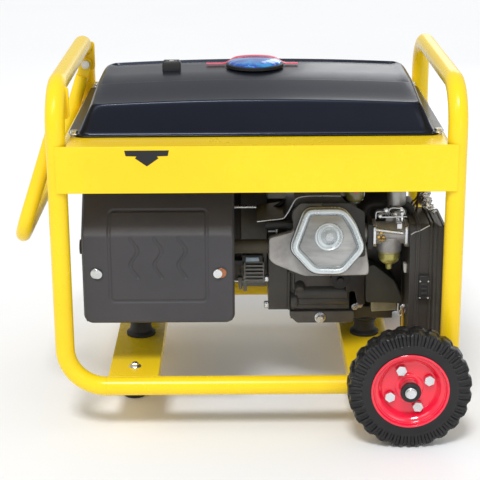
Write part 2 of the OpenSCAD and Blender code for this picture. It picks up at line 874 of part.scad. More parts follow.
// T-shaped grip of the starter rope
module starter_grip() {
  color("dimgray") at_engine() translate([recoil_left + 26.5, -34, 58]) {
    rod_x(0, 10, 6);
    hull() for (y = [-34, 34]) translate([16, y, 0]) rotate([90, 0, 0])
      cylinder(h = 12, r = 8, center = true, $fn = hull_fn);
  }
}

// Shaft with its two webs and the offset crank pin between them
module crankshaft() {
  shaft_left = -352;
  web_r = 42;
  color("silver") at_engine() {
    rod_x(shaft_left, -300, journal_d / 2 - 3);
    rod_x(-300, -32, journal_d / 2);
    rod_x(-32, -12, web_r);
    translate([0, -22, 0]) rod_x(-12, 12, 17);
    rod_x(12, 32, web_r);
    rod_x(32, 54, journal_d / 2);
    rod_x(54, 108, journal_d / 2 - 3);
  }
}

// Filler plug with dipstick, screwed into the front of the crankcase
module oil_fill_cap() {
  color("dimgray") at_engine() translate([fill_x, case_front, fill_z]) {
    rod_y(-1 - 16, -gap, 16);
    rod_y(-gap, 22, 8.95);
    rod_y(-26, -17, 6);
  }
}

module carburetor() {
  color("lightgray") at_engine() translate([0, carb_y, carb_z]) {
    difference() {
      union() {
        along_x(83, 90) polygon(rounded(box_outline(-20, -20, 20, 20), 5));
        rod_x(90, 138, 19);
        along_x(138, cleaner_left) polygon(rounded(box_outline(-20, -20, 20, 20), 5));
        translate([114, 0, -30]) cylinder(h = 26, r = 21);
        translate([107, 3, 8]) cube([14, 14, 18]);
        translate([127, 0, 10]) cylinder(h = 12, r = 7);
      }
      rod_x(80, 150, 10);
    }
  }
}

module carb_bowl() {
  color("goldenrod") at_engine() translate([114, carb_y, carb_z - 30.1]) {
    translate([0, 0, -24]) rotate_extrude() polygon([[0, 0], [10, 0], [16, 5], [18, 10], [18, 22],
                                                      [20, 22], [20, 24], [0, 24]]);
    translate([0, 0, -34]) cylinder(h = 10.1, r = 5.5, $fn = 6);
  }
}

module choke_lever() {
  color("silver") at_engine() translate([127, carb_y, carb_z + 22.4]) {
    cylinder(h = 5, r = 6);
    translate([-4, -30, 0]) cube([8, 26, 2.5]);
    translate([-4, -32, -6]) cube([8, 2.5, 8.5]);
  }
}

cleaner_front = -210;
cleaner_rear = -95;
cleaner_low = -146;
cleaner_high = 77;
function cleaner_outline(inset) = rounded(box_outline(
  cleaner_front + inset, cleaner_low + inset, cleaner_rear - inset, cleaner_high - inset), 9 - inset);

module cleaner_base() {
  color("dimgray") at_engine() difference() {
    along_x(cleaner_left, cleaner_split) polygon(cleaner_outline(0));
    along_x(cleaner_left + 3, cleaner_split + 1) polygon(cleaner_outline(3));
    translate([0, carb_y, carb_z]) rod_x(cleaner_left - 1, cleaner_left + 4, 10);
  }
}

module cleaner_cover() {
  color("dimgray") at_engine() {
    difference() {
      along_x(cleaner_split + 0.3, cleaner_right) polygon(cleaner_outline(0));
      along_x(cleaner_split, cleaner_right - 3) polygon(cleaner_outline(3));
    }
    for (x = [-11, 11]) translate([cleaner_split + 10 + x, 0, clip_z])
      difference() {
        along_y(cleaner_front - 6, cleaner_front) translate([-1.5, -4]) square([3, 8]);
        translate([0, cleaner_front - 3.5, 0]) rod_x(-5, 5, clip_pin + 0.05);
      }
  }
}

// Clip hinged below, closed up against the cover's front
module cleaner_clip() {
  color("black") at_engine() translate([cleaner_split + 10, cleaner_front - 3.5, clip_z]) {
    rod_x(-8.5, 8.5, 2.5);
    rod_x(-12.5, 12.5, clip_pin);
    translate([-8.5, -1.5, 0]) cube([17, 3, 42]);
    translate([-8.5, -4, 34]) cube([17, 3, 5]);
  }
}

module filter_element() {
  color("khaki") at_engine() along_x(cleaner_left + 4, cleaner_split - 1)
    polygon(rounded(box_outline(cleaner_front + 6, cleaner_low + 6, cleaner_rear - 6, 30), 6));
}

// Breather: up from the head, over the carburettor and down into the air cleaner
module breather_hose() {
  r = 6.5;
  turn = 14;
  x0 = 75;
  x1 = 153;
  low = 40;
  top = 92;
  color("dimgray") at_engine() translate([0, -138, 0]) {
    translate([x0, 0, low]) cylinder(h = top - turn - low, r = r);
    translate([x0 + turn, 0, top - turn]) rotate([90, 0, 0]) rotate([0, 180, 0]) mirror([0, 0, 1])
      rotate_extrude(angle = 90) translate([turn, 0]) circle(r);
    translate([0, 0, top]) rod_x(x0 + turn, x1 - turn, r);
    translate([x1 - turn, 0, top - turn]) rotate([90, 0, 0])
      rotate_extrude(angle = 90) translate([turn, 0]) circle(r);
    translate([x1, 0, cleaner_high]) cylinder(h = top - turn - cleaner_high, r = r);
  }
}

// Spark plug in the side of the head, with its rubber boot
module spark_plug() {
  seat = -52;
  color("dimgray") at_engine() translate([0, plug_y, plug_z]) {
    rod_x(seat, seat + 18, 5.95);
    translate([seat - 8.1, 0, 0]) rotate([0, 90, 0]) cylinder(h = 8, r = 9, $fn = 6);
    rod_x(seat - 46, seat - 8.1, 8);
    translate([seat - 38, 0, 0]) rod_y(0, 15, 7.5);
  }
}

// ---------------------------------------------------------------- alternator

alt_left = -298;
alt_right = -139;
bell_right = -93.2;
foot_x = -322;

module stator() {
  color("gray") at_engine() difference() {
    rod_x(alt_left, alt_right, alt_r);
    rod_x(alt_left - 1, alt_right + 1, alt_r - 30);
  }
}

module rotor() {
  color("peru") at_engine() difference() {
    rod_x(alt_left + 14, alt_right - 12, alt_r - 32);
    rod_x(alt_left, alt_right, journal_d / 2);
  }
}

// Cast bell between the alternator and the engine, with a slotted air outlet in front
module drive_end_bracket() {
  outer = alt_r + 6;
  vent_front = -112;
  vent = [[-134, -58], [-98.5, -19]];
  slots = 5;
  pitch = 7;
  color("silver") at_engine() difference() {
    union() {
      rod_x(alt_right + 0.1, bell_right, outer);
      translate([vent[0].x, vent_front, vent[0].y])
        cube([vent[1].x - vent[0].x, 60, vent[1].y - vent[0].y]);
      translate([vent[0].x - 2, vent_front + 7, vent[0].y - 18]) cube([7, 5, 20]);
    }
    rod_x(alt_right - 1, bell_right - 6, outer - 7);
    rod_x(alt_right, bell_right + 1, 71);
    for (i = [0 : slots - 1]) translate([vent[0].x + 4, vent_front - 1, vent[0].y + 4 + i * pitch])
      cube([vent[1].x - vent[0].x - 8, 40, pitch * 0.55]);
  }
}

// Rear bell with the second bearing, air slots and the foot on the left mounts
module alternator_cover() {
  left = -358;
  slots = 10;
  color("silver") at_engine() difference() {
    union() {
      rod_x(left, alt_left - 0.1, alt_r);
      along_x(foot_x - 22, foot_x + 22) polygon([
        [-mount_y - 26, -crank_height], [mount_y + 26, -crank_height], [mount_y + 26, -crank_height + 12],
        [56, -62], [-56, -62], [-mount_y - 26, -crank_height + 12]]);
    }
    rod_x(left + 6, alt_left + 1, alt_r - 7);
    rod_x(left - 1, alt_left, journal_d / 2 - 3 + journal_play);
    along_x(foot_x - 23, foot_x + 23) polygon([[-46, -crank_height - 1], [46, -crank_height - 1],
      [46, -crank_height + 16], [34, -98], [-34, -98], [-46, -crank_height + 16]]);
    for (i = [0 : slots - 1]) rotate([360 * i / slots, 0, 0])
      translate([left - 1, 40, -6]) cube([10, 34, 12]);
  }
}

// ---------------------------------------------------------------- control panel

// Folded box below the rear beam, open towards the alternator
module control_panel() {
  s = 2.5;
  color("dimgray") at_frame() {
    difference() {
      translate([panel_left, panel_y - panel_depth, panel_low])
        cube([panel_width, panel_depth, panel_high - panel_low]);
      translate([panel_left + s, panel_y - panel_depth - 1, panel_low + s])
        cube([panel_width - 2 * s, panel_depth + 1 - s, panel_high - panel_low - 2 * s]);
      for (x = [toggle_x, switch_x]) along_y(panel_y - 10, panel_y + 1)
        translate([panel_left + x - 10, panel_low + toggle_z - 14]) square([20, 28]);
    }
    for (x = [toggle_x, switch_x]) translate([panel_left + x, 0, panel_low + toggle_z]) difference() {
      translate([-13, panel_y - 18, -17]) cube([26, 18 - s, 34]);
      translate([-10, panel_y - 19, -14]) cube([20, 20, 28]);
      translate([0, panel_y - 5, 0]) rod_x(-20, 20, rocker_pin + 0.05);
    }
    for (x = [40, panel_width - 40])
      translate([panel_left + x - 10, panel_y - 20, panel_high]) cube([20, 16, beam_bottom - panel_high]);
  }
}

toggle_x = 196;
switch_x = 232;
toggle_z = 70;
rocker_pin = 2;
rocker_rest = 10;
socket_r = 26;
module sockets() {
  color("black") at_frame() for (x = [50, 124])
    translate([panel_left + x, panel_y, panel_low + toggle_z]) difference() {
      rod_y(0, 15, socket_r);
      rod_y(3, 16, 19.5);
    }
}

// A rocking actuator with its pivot pin just behind the panel's face
module rocker(x) {
  translate([panel_left + x, panel_y - 5, panel_low + toggle_z]) rotate([rocker_rest, 0, 0]) {
    translate([-9, -3, -11]) cube([18, 12, 22]);
    rod_x(-12.5, 12.5, rocker_pin);
  }
}

module breaker_toggle() { color("black") at_frame() rocker(toggle_x); }
module engine_switch() { color("crimson") at_frame() rocker(switch_x); }

module voltmeter() {
  color("gainsboro") at_frame() translate([panel_left + 66, panel_y, panel_low + 168]) difference() {
    rod_y(0, 9, 31);
    rod_y(6, 10, 27);
  }
}

// Two direct-current posts and the earth post
module terminals() {
  color("gold") at_frame() for (x = [150, 184, 226])
    translate([panel_left + x, panel_y, panel_low + 168]) {
      rod_y(0, 8, 8);
      rod_y(8, 20, 4);
      translate([0, 12, 0]) rotate([-90, 0, 0]) cylinder(h = 5, r = 7, $fn = 6);
    }
}

// ---------------------------------------------------------------- fasteners

// Tank bolts, shield screws, side cover bolts, the valve cover's nut and the drain bolt
module fasteners() {
  color("silver") {
    at_frame() for (x = [-tank_bolt_x, tank_bolt_x], y = [-tank_bolt_y, tank_bolt_y])
      translate([x, y, flange_z + 4]) {
        cylinder(h = 1.5, r = 8.5);
        translate([0, 0, 1.5]) cylinder(h = 5, r = 7, $fn = 6);
        translate([0, 0, -9]) cylinder(h = 9, r = 4);
      }
    at_engine() {
      for (x = screw_x) translate([x, 0, screw_z]) {
        rod_y(shield_y - 4, shield_y, 7.5);
        rod_y(shield_y, muffler_y - 51, 3);
      }
      for (p = cover_bolts) translate([0, p.x, p.y]) rotate([0, -90, 0]) translate([0, 0, 91])
        cylinder(h = 6, r = 7, $fn = 6);
      on_cylinder() translate([8, 5, cover_far + 4.8]) cylinder(h = 5, r = 7, $fn = 6);
      translate([0, case_front, -crank_height + 12]) rotate([90, 0, 0]) cylinder(h = 7, r = 8, $fn = 6);
    }
  }
}

hoop_left();
hoop_right();
frame_tubes();
tank_beams();
cross_members();
support_legs();
rubber_feet();
engine_mounts();
axle_stubs();
axle_nuts();
handle_ears();
handle_bolts();
handle_bar();
tyre_front();
rim_front();
hub_front();
tyre_rear();
rim_rear();
hub_rear();
tank_upper();
tank_lower();
fuel_strainer();
fuel_cap();
cap_tag();
fuel_gauge();
fuel_tap();
tap_lever();
fuel_hose();
muffler();
muffler_shield();
fasteners();
crankcase();
side_cover();
cylinder_head();
valve_cover();
cooling_shroud();
flywheel();
recoil_cover();
starter_grip();
crankshaft();
oil_fill_cap();
carburetor();
carb_bowl();
choke_lever();
cleaner_base();
cleaner_cover();
filter_element();
cleaner_clip();
breather_hose();
spark_plug();
stator();
rotor();
drive_end_bracket();
alternator_cover();
control_panel();
sockets();
breaker_toggle();
engine_switch();
voltmeter();
terminals();
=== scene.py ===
import math

import bmesh
import bpy
import numpy as np
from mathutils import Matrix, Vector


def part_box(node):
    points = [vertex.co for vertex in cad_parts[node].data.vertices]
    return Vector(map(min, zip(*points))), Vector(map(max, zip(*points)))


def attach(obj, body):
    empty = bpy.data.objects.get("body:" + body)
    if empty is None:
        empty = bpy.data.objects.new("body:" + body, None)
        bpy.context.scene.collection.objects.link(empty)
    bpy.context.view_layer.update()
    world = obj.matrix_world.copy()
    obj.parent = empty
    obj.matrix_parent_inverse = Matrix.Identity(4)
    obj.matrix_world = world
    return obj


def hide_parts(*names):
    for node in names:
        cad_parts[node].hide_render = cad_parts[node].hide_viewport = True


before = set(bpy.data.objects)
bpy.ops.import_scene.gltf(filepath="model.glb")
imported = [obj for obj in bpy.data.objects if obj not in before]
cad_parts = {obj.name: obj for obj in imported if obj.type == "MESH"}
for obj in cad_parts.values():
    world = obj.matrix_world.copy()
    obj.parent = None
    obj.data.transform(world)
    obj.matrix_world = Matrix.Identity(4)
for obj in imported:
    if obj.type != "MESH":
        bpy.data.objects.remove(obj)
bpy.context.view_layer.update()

# ---------------------------------------------------------------- studio
# A pale floor under an even white studio sky, a broad ceiling light and weak soft boxes on three sides.
# The camera stands two and a half metres in front of the generator and looks slightly down.
camera = bpy.data.objects.new("camera", bpy.data.cameras.new("camera"))
bpy.context.collection.objects.link(camera)
camera.location = (0.00415, -2.4438, 1.0344)
camera.rotation_euler = (math.radians(90 - 17.58), math.radians(0.38), math.radians(-0.01))
camera.data.sensor_width = 36
camera.data.lens = 105.8
bpy.context.scene.camera = camera
bpy.context.scene.view_settings.view_transform = "Standard"
bpy.context.scene.view_settings.look = "None"

world = bpy.data.worlds.new("studio")
bpy.context.scene.world = world
world.use_nodes = True
world.node_tree.nodes["Background"].inputs["Color"].default_value = (0.96, 0.98, 1.0, 1)
world.node_tree.nodes["Background"].inputs["Strength"].default_value = 0.62


def soft_box(name, place, aim, size, power, tint=(1, 1, 1)):
    """A square area lamp at place that faces aim."""
    lamp = bpy.data.lights.new(name, "AREA")
    lamp.size = size
    lamp.energy = power
    lamp.color = tint
    holder = bpy.data.objects.new(name, lamp)
    bpy.context.collection.objects.link(holder)
    holder.location = place
    away = np.array(place) - np.array(aim)
    flat = math.hypot(away[0], away[1])
    holder.rotation_euler = (math.atan2(flat, away[2]), 0, math.atan2(away[0], -away[1]))


soft_box("key", (-1.6, -2.2, 2.6), (0, 0, 0.3), 1.1, 9)
soft_box("front_fill", (1.3, -2.6, 0.9), (0, 0, 0.25), 1.0, 5, (1, 0.98, 0.95))
soft_box("back_fill", (0.8, 2.6, 1.4), (0, 0, 0.3), 1.2, 7)
ceiling = bpy.data.lights.new("ceiling", "SUN")
ceiling.energy = 1.75
ceiling.angle = math.radians(14)
ceiling_holder = bpy.data.objects.new("ceiling", ceiling)
bpy.context.collection.objects.link(ceiling_holder)
ceiling_holder.rotation_euler = (math.radians(33), math.radians(-7), 0)

# ---------------------------------------------------------------- tube frame
# Two bent steel tube hoops joined by rails, end tubes, folded beams and cross members.
# All of it is welded, then powder coated in a glossy yellow; the coat is a little orange-peeled.
COAT_YELLOW = (0.97, 0.69, 0.013)
COAT_DEEP = (0.95, 0.63, 0.010)
COAT_SCUFF = (0.80, 0.50, 0.02)


class Flow:
    """One socket of a material's node tree. Arithmetic on it adds Math nodes; node() adds any other."""

    def __init__(self, tree, socket=None):
        self.tree = tree
        self.socket = socket

    def node(self, kind, settings=None, sockets=None, out=0):
        made = self.tree.nodes.new("ShaderNode" + kind)
        for key, value in (settings or {}).items():
            setattr(made, key, value)
        for key, value in (sockets or {}).items():
            if isinstance(value, Flow):
                self.tree.links.new(value.socket, made.inputs[key])
            else:
                made.inputs[key].default_value = value
        return Flow(self.tree, made.outputs[out])

    def maths(self, operation, first, second):
        return self.node("Math", {"operation": operation}, {0: first, 1: second})

    def __add__(self, other):
        return self.maths("ADD", self, other)

    def __sub__(self, other):
        return self.maths("SUBTRACT", self, other)

    def __rsub__(self, other):
        return self.maths("SUBTRACT", other, self)

    def __mul__(self, other):
        return self.maths("MULTIPLY", self, other)

    def step(self, low, high):
        """0 below low, 1 above high and a smooth rise between them."""
        return self.node(
            "MapRange", {"interpolation_type": "SMOOTHSTEP"},
            {"Value": self, "From Min": low, "From Max": high})


def finish(
    name, colour, second=None, worn=None, rough=0.4, spread=0.12, metal=0.0, coat=0.0, cloud=9.0,
    grain=700.0, relief=0.00004, edge=0.0012, wear=0.5, stretch=(1, 1, 1), shine=0.5):
    """A surface with clouded colour and gloss, a fine grain in relief, and rubbed edges.

    The cloud mask mixes colour and second; the edge mask is how far a rounded normal leaves
    the true one, broken up by noise, and mixes in the worn colour."""
    material = bpy.data.materials.new(name)
    material.use_nodes = True
    tree = material.node_tree
    shader = tree.nodes["Principled BSDF"]
    here = Flow(tree).node("TexCoord", out=3)
    here = here.node("Mapping", None, {"Vector": here, "Scale": stretch})
    second = second or [0.72 * c for c in colour]
    worn = worn or [min(1, 1.25 * c + 0.05) for c in colour]
    colour, second, worn = ((*shade, 1) for shade in (colour, second, worn))
    broad = here.node("TexNoise", None, {"Vector": here, "Scale": cloud, "Detail": 5, "Roughness": 0.6})
    fine = here.node("TexNoise", None, {"Vector": here, "Scale": grain, "Detail": 3, "Roughness": 0.65})
    speck = here.node("TexNoise", None, {"Vector": here, "Scale": cloud * 9, "Detail": 4})
    tone = broad.step(0.35, 0.72)
    paint = here.node("Mix", {"data_type": "RGBA"}, {"Factor": tone, 6: colour, 7: second}, out=2)
    rounded_normal = here.node("Bevel", {"samples": 4}, {"Radius": edge})
    true_normal = here.node("NewGeometry", out=1)
    agree = here.node(
        "VectorMath", {"operation": "DOT_PRODUCT"}, {0: rounded_normal, 1: true_normal}, out=1)
    rub = (1 - agree).step(0.02, 0.22) * speck.step(0.42, 0.62) * wear
    paint = here.node("Mix", {"data_type": "RGBA"}, {"Factor": rub, 6: paint, 7: worn}, out=2)
    gloss = (broad - 0.5) * spread + (speck - 0.5) * (0.6 * spread) + rub * 0.12 + rough
    bump = here.node(
        "Bump", None,
        {"Strength": 1.0, "Distance": relief, "Height": fine + speck * 0.8, "Normal": rounded_normal})
    tree.links.new(paint.socket, shader.inputs["Base Color"])
    tree.links.new(gloss.socket, shader.inputs["Roughness"])
    tree.links.new(bump.socket, shader.inputs["Normal"])
    shader.inputs["Metallic"].default_value = metal
    shader.inputs["Specular IOR Level"].default_value = shine
    shader.inputs["Coat Weight"].default_value = coat
    shader.inputs["Coat Roughness"].default_value = 0.08
    return material


def dress(material, *nodes):
    """The CAD nodes take the material in every slot they have."""
    for node in nodes:
        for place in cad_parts[node].material_slots:
            place.material = material


frame_coat = finish(
    "frame_coat", COAT_YELLOW, COAT_DEEP, COAT_SCUFF, rough=0.28, spread=0.1, coat=0.12, cloud=4.0,
    grain=420.0, relief=0.00003, wear=0.25, shine=0.3)
dress(
    frame_coat, "hoop_left", "hoop_right", "frame_tubes", "tank_beams", "cross_members", "support_legs",
    "handle_ears", "handle_bar")


def loft(rings, closed=False):
    """Corners and faces of a shell through rings[k, n, 3]: each corner joins its neighbours on its own
    ring and the next. The end rings are filled, or joined to each other when closed."""
    count, around = rings.shape[:2]
    ids = np.arange(count * around).reshape(count, around)
    rows = np.vstack([ids, ids[:1]]) if closed else ids
    here, there = rows[:-1], rows[1:]
    faces = np.stack([here, np.roll(here, -1, 1), np.roll(there, -1, 1), there], -1).reshape(-1, 4).tolist()
    if not closed:
        faces += [ids[0][::-1].tolist(), ids[-1].tolist()]
    return rings.reshape(-1, 3), faces


def piece(name, shells, material, body, replaced=(), sharp=32, solid=0.0):
    """One object of several shells, smooth but for folds sharper than an angle, riding on a body."""
    corners = np.vstack([shell[0] for shell in shells])
    starts = np.cumsum([0] + [len(shell[0]) for shell in shells])
    faces = [[start + i for i in face] for start, shell in zip(starts, shells) for face in shell[1]]
    mesh = bpy.data.meshes.new(name)
    mesh.from_pydata(corners.tolist(), [], faces)
    work = bmesh.new()
    work.from_mesh(mesh)
    bmesh.ops.remove_doubles(work, verts=work.verts, dist=1e-6)
    bmesh.ops.dissolve_degenerate(work, edges=work.edges, dist=1e-7)
    bmesh.ops.recalc_face_normals(work, faces=work.faces)
    work.to_mesh(mesh)
    work.free()
    mesh.polygons.foreach_set("use_smooth", np.ones(len(mesh.polygons), bool))
    mesh.set_sharp_from_angle(angle=math.radians(sharp))
    made = bpy.data.objects.new(name, mesh)
    bpy.context.collection.objects.link(made)
    mesh.materials.append(material)
    if solid:
        wall = made.modifiers.new("wall", "SOLIDIFY")
        wall.thickness = solid
        wall.offset = -1
    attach(made, body)
    if replaced:
        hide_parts(*replaced)
    return made


def swept(path, radius, steps=12, side=(0, 1, 0), closed=False):
    """Rings of a wire: at each point of the path a circle across the path's direction."""
    path = np.asarray(path, float)
    ahead = np.roll(path, -1, 0) - np.roll(path, 1, 0) if closed else np.gradient(path, axis=0)
    ahead /= np.linalg.norm(ahead, axis=1)[:, None]
    across = np.cross(ahead, np.asarray(side, float))
    across /= np.maximum(np.linalg.norm(across, axis=1), 1e-9)[:, None]
    up = np.cross(across, ahead)
    turn = np.linspace(0, 2 * math.pi, steps, endpoint=False)
    radius = np.broadcast_to(radius, len(path))[:, None, None]
    ring = np.cos(turn)[None, :, None] * across[:, None] + np.sin(turn)[None, :, None] * up[:, None]
    return path[:, None] + radius * ring


def wire(path, radius, steps=12, side=(0, 1, 0), closed=False):
    """The shell of a wire or a rod along a path, or of a ring when it is closed."""
    return loft(swept(path, radius, steps, side, closed), closed)


def circle(centre, radius, axis, steps=48):
    """Points round a circle about x, y or z."""
    turn = np.linspace(0, 2 * math.pi, steps, endpoint=False)
    ring = {
        "x": (0 * turn, np.cos(turn), np.sin(turn)), "y": (np.cos(turn), 0 * turn, np.sin(turn)),
        "z": (np.cos(turn), np.sin(turn), 0 * turn)}[axis]
    return np.asarray(centre, float) + radius * np.stack(ring, -1)


# Weld beads where the end tubes meet the hoops and the cross members meet the rails.
# Each is a short overlapping row of puddles, coated with the frame.
def bead(centre, radius, axis, size=0.0026, puddles=30):
    """A ring whose own thickness swells and shrinks once for each puddle."""
    steps = puddles * 4
    swell = size * (1 + 0.22 * np.cos(np.arange(steps) * 2 * math.pi / 4))
    return wire(
        circle(centre, radius, axis, steps), swell, 8, {"x": (1, 0, 0), "y": (0, 1, 0)}[axis], closed=True)


tube_r = 0.016
end_tube_r = 0.0125
left_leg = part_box("hoop_left")[0].x + tube_r
right_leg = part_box("hoop_right")[1].x - tube_r
leg_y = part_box("hoop_left")[1].y - tube_r
end_tube_z = 0.457
beads = [
    bead((x, side * (leg_y - tube_r + 0.0005), end_tube_z), end_tube_r + 0.001, "y")
    for x in (left_leg, right_leg) for side in (-1, 1)]
member_half = 0.0425
fillet = np.linspace(0, 1, 90)[::4, None]
for member_x in (-0.1815, 0.224):
    for side in (-1, 1):
        for edge in (-1, 1):
            start = np.array([member_x + edge * member_half, side * 0.228, 0.083])
            stop = np.array([member_x + edge * member_half, side * 0.236, 0.094])
            beads.append(
                wire(
                    start + (stop - start) * fillet,
                    0.0022 * (1 + 0.2 * np.cos(np.arange(len(fillet)) * 1.6)), 8, (1, 0, 0)))
piece("weld_beads", beads, frame_coat, "frame", sharp=60)

# A black arrow plate, die cut from thin vinyl, stuck on the front beam below the tank; it carries no words.
# The plate is a low bar with a broad arrowhead under its middle.
plate_black = finish("plate_black", (0.006, 0.006, 0.007), rough=0.35, relief=0.00001, wear=0.1)


def rounded(corners, radius, steps=6):
    """Outline with each corner replaced by a curve (1-t)^2 a + 2t(1-t) c + t^2 b between points a and b
    that lie radius away from the corner c on its two edges."""
    corners = np.asarray(corners, float)
    back, ahead = np.roll(corners, 1, 0) - corners, np.roll(corners, -1, 0) - corners
    reach = np.linalg.norm(back, axis=1)[:, None], np.linalg.norm(ahead, axis=1)[:, None]
    start = corners + back / reach[0] * np.minimum(radius, reach[0] * 0.49)
    stop = corners + ahead / reach[1] * np.minimum(radius, reach[1] * 0.49)
    t = np.linspace(0, 1, steps)[None, :, None]
    return (
        (1 - t) ** 2 * start[:, None] + 2 * t * (1 - t) * corners[:, None] + t**2 * stop[:, None]
    ).reshape(-1, 2)


def outline_mm(corners, radius, steps=6):
    """A rounded outline whose corners are given in millimetres."""
    return rounded(np.array(corners) * 0.001, radius, steps)


def box_outline(low, high, radius):
    """A rectangle between two opposite corners, with rounded corners."""
    return rounded([(low[0], low[1]), (high[0], low[1]), (high[0], high[1]), (low[0], high[1])], radius)


def inset(outline, depth):
    """The outline moved inwards by depth along the mean of its edges' normals."""
    along = np.roll(outline, -1, 0) - np.roll(outline, 1, 0)
    normal = np.stack([-along[:, 1], along[:, 0]], -1)
    normal /= np.maximum(np.linalg.norm(normal, axis=1), 1e-9)[:, None]
    following = np.roll(outline, -1, 0)
    area = np.sum(outline[:, 0] * following[:, 1] - following[:, 0] * outline[:, 1])
    return outline + normal * depth * np.sign(area)


def pressed(outline, levels, axis):
    """Rings of a plate or casting: at each (height along the axis, inset) the outline drawn in by it."""
    rings = []
    for height, depth in levels:
        flat = inset(outline, depth)
        level = np.full(len(flat), height)
        rings.append(
            np.stack(
                {
                    "x": (level, flat[:, 0], flat[:, 1]), "y": (flat[:, 0], level, flat[:, 1]),
                    "z": (flat[:, 0], flat[:, 1], level)}[axis],
                -1))
    return np.array(rings)


def slab(outline, low, high, axis, edge=0.0006):
    """A plate between low and high with its edges broken by a small chamfer."""
    return loft(pressed(outline, [(low, edge), (low + edge, 0), (high - edge, 0), (high, edge)], axis))


beam_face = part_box("tank_beams")[0].y
arrow_x, arrow_top = -0.1475, 0.4945
arrow = np.array([
    [-0.0355, 0], [-0.0335, -0.009], [-0.0165, -0.0095], [-0.0165, -0.0105], [-0.019, -0.0125], [0, -0.026],
    [0.019, -0.0125], [0.0165, -0.0105], [0.0165, -0.0095], [0.0335, -0.009], [0.0355, 0]])
piece(
    "arrow_plate",
    [slab(arrow + (arrow_x, arrow_top), beam_face - 0.00045, beam_face + 0.0001, "y", 0.00008)],
    plate_black, "frame")

# ---------------------------------------------------------------- wheels
# Solid rubber tyres on two-part pressed rims, clamped by four zinc bolts round a plain bush.
# The tyre has a smooth band by the rim, radial ribs on its shoulder and staggered blocks on the tread.
RUBBER_BLACK = (0.007, 0.007, 0.008)
RIM_RED = (0.92, 0.008, 0.035)
RIM_DEEP = (0.84, 0.006, 0.05)
ribs = 46
rib_depth = 0.0030
block_depth = 0.0034
tyre_r = 0.102
rim_seat = 0.0605
wheel_lo, wheel_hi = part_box("tyre_front")
wheel_x, wheel_z = (wheel_lo.x + wheel_hi.x) / 2, (wheel_lo.z + wheel_hi.z) / 2

tyre_rubber = finish(
    "tyre_rubber", RUBBER_BLACK, (0.013, 0.013, 0.014), (0.09, 0.09, 0.092), rough=0.34, spread=0.22,
    cloud=14, grain=900, relief=0.00006, wear=0.7, shine=0.4)
rim_paint = finish(
    "rim_paint", RIM_RED, RIM_DEEP, (0.9, 0.05, 0.1), rough=0.16, spread=0.06, coat=0.9, cloud=10,
    grain=500, relief=0.00001, wear=0.15)
bright_zinc = finish(
    "bright_zinc", (0.74, 0.76, 0.78), (0.60, 0.60, 0.58), (0.88, 0.88, 0.88), rough=0.28, spread=0.2,
    metal=1.0, cloud=40, grain=900, relief=0.00002)


def around_wheel(profile, side, carve=None, steps=96):
    """Rings of a wheel part: the closed profile of (radius, |y|) turned about the axle; carve says how far
    each point of it sinks in radius and in width."""
    turn = np.linspace(0, 2 * math.pi, steps, endpoint=False)[:, None]
    radius, width = profile[:, 0][None], profile[:, 1][None]
    sink_r, sink_y = carve(turn, radius, width) if carve else (0, 0)
    radius = radius - sink_r + 0 * turn
    width = width + 0 * turn - sink_y
    return np.stack([wheel_x + radius * np.cos(turn), side * width, wheel_z + radius * np.sin(turn)], -1)


def wave(turn, count, duty=0.5, soft=0.16):
    """A soft square wave of count teeth round the wheel: 1 in the grooves and 0 on the ribs."""
    ripple = np.cos(turn * count) + math.cos(math.pi * duty)
    return np.clip(0.5 + ripple / (2 * soft * math.pi), 0, 1)


def evenly(outline, count):
    """The closed outline with count points at equal distances along it."""
    closed = np.vstack([outline, outline[:1]])
    run = np.concatenate([[0], np.cumsum(np.linalg.norm(np.diff(closed, axis=0), axis=1))])
    at = np.linspace(0, run[-1], count, endpoint=False)
    return np.stack([np.interp(at, run, closed[:, k]) for k in range(closed.shape[1])], -1)


def tyre_section(inner, outer):
    """Closed section (radius, |y|): flat bead, a band that swells to the shoulder, and a low crown."""
    bead_in, shoulder, crown = 0.0042, 0.020, 0.008
    near, far = inner + bead_in, outer - bead_in
    return evenly(
        rounded(
            [
                (rim_seat, near), (rim_seat + 0.007, near), (tyre_r - shoulder, inner),
                (tyre_r - 0.005, inner + 0.002), (tyre_r, inner + crown), (tyre_r, outer - crown),
                (tyre_r - 0.005, outer - 0.002), (tyre_r - shoulder, outer), (rim_seat + 0.007, far),
                (rim_seat, far)],
            0.006, 8),
        96)


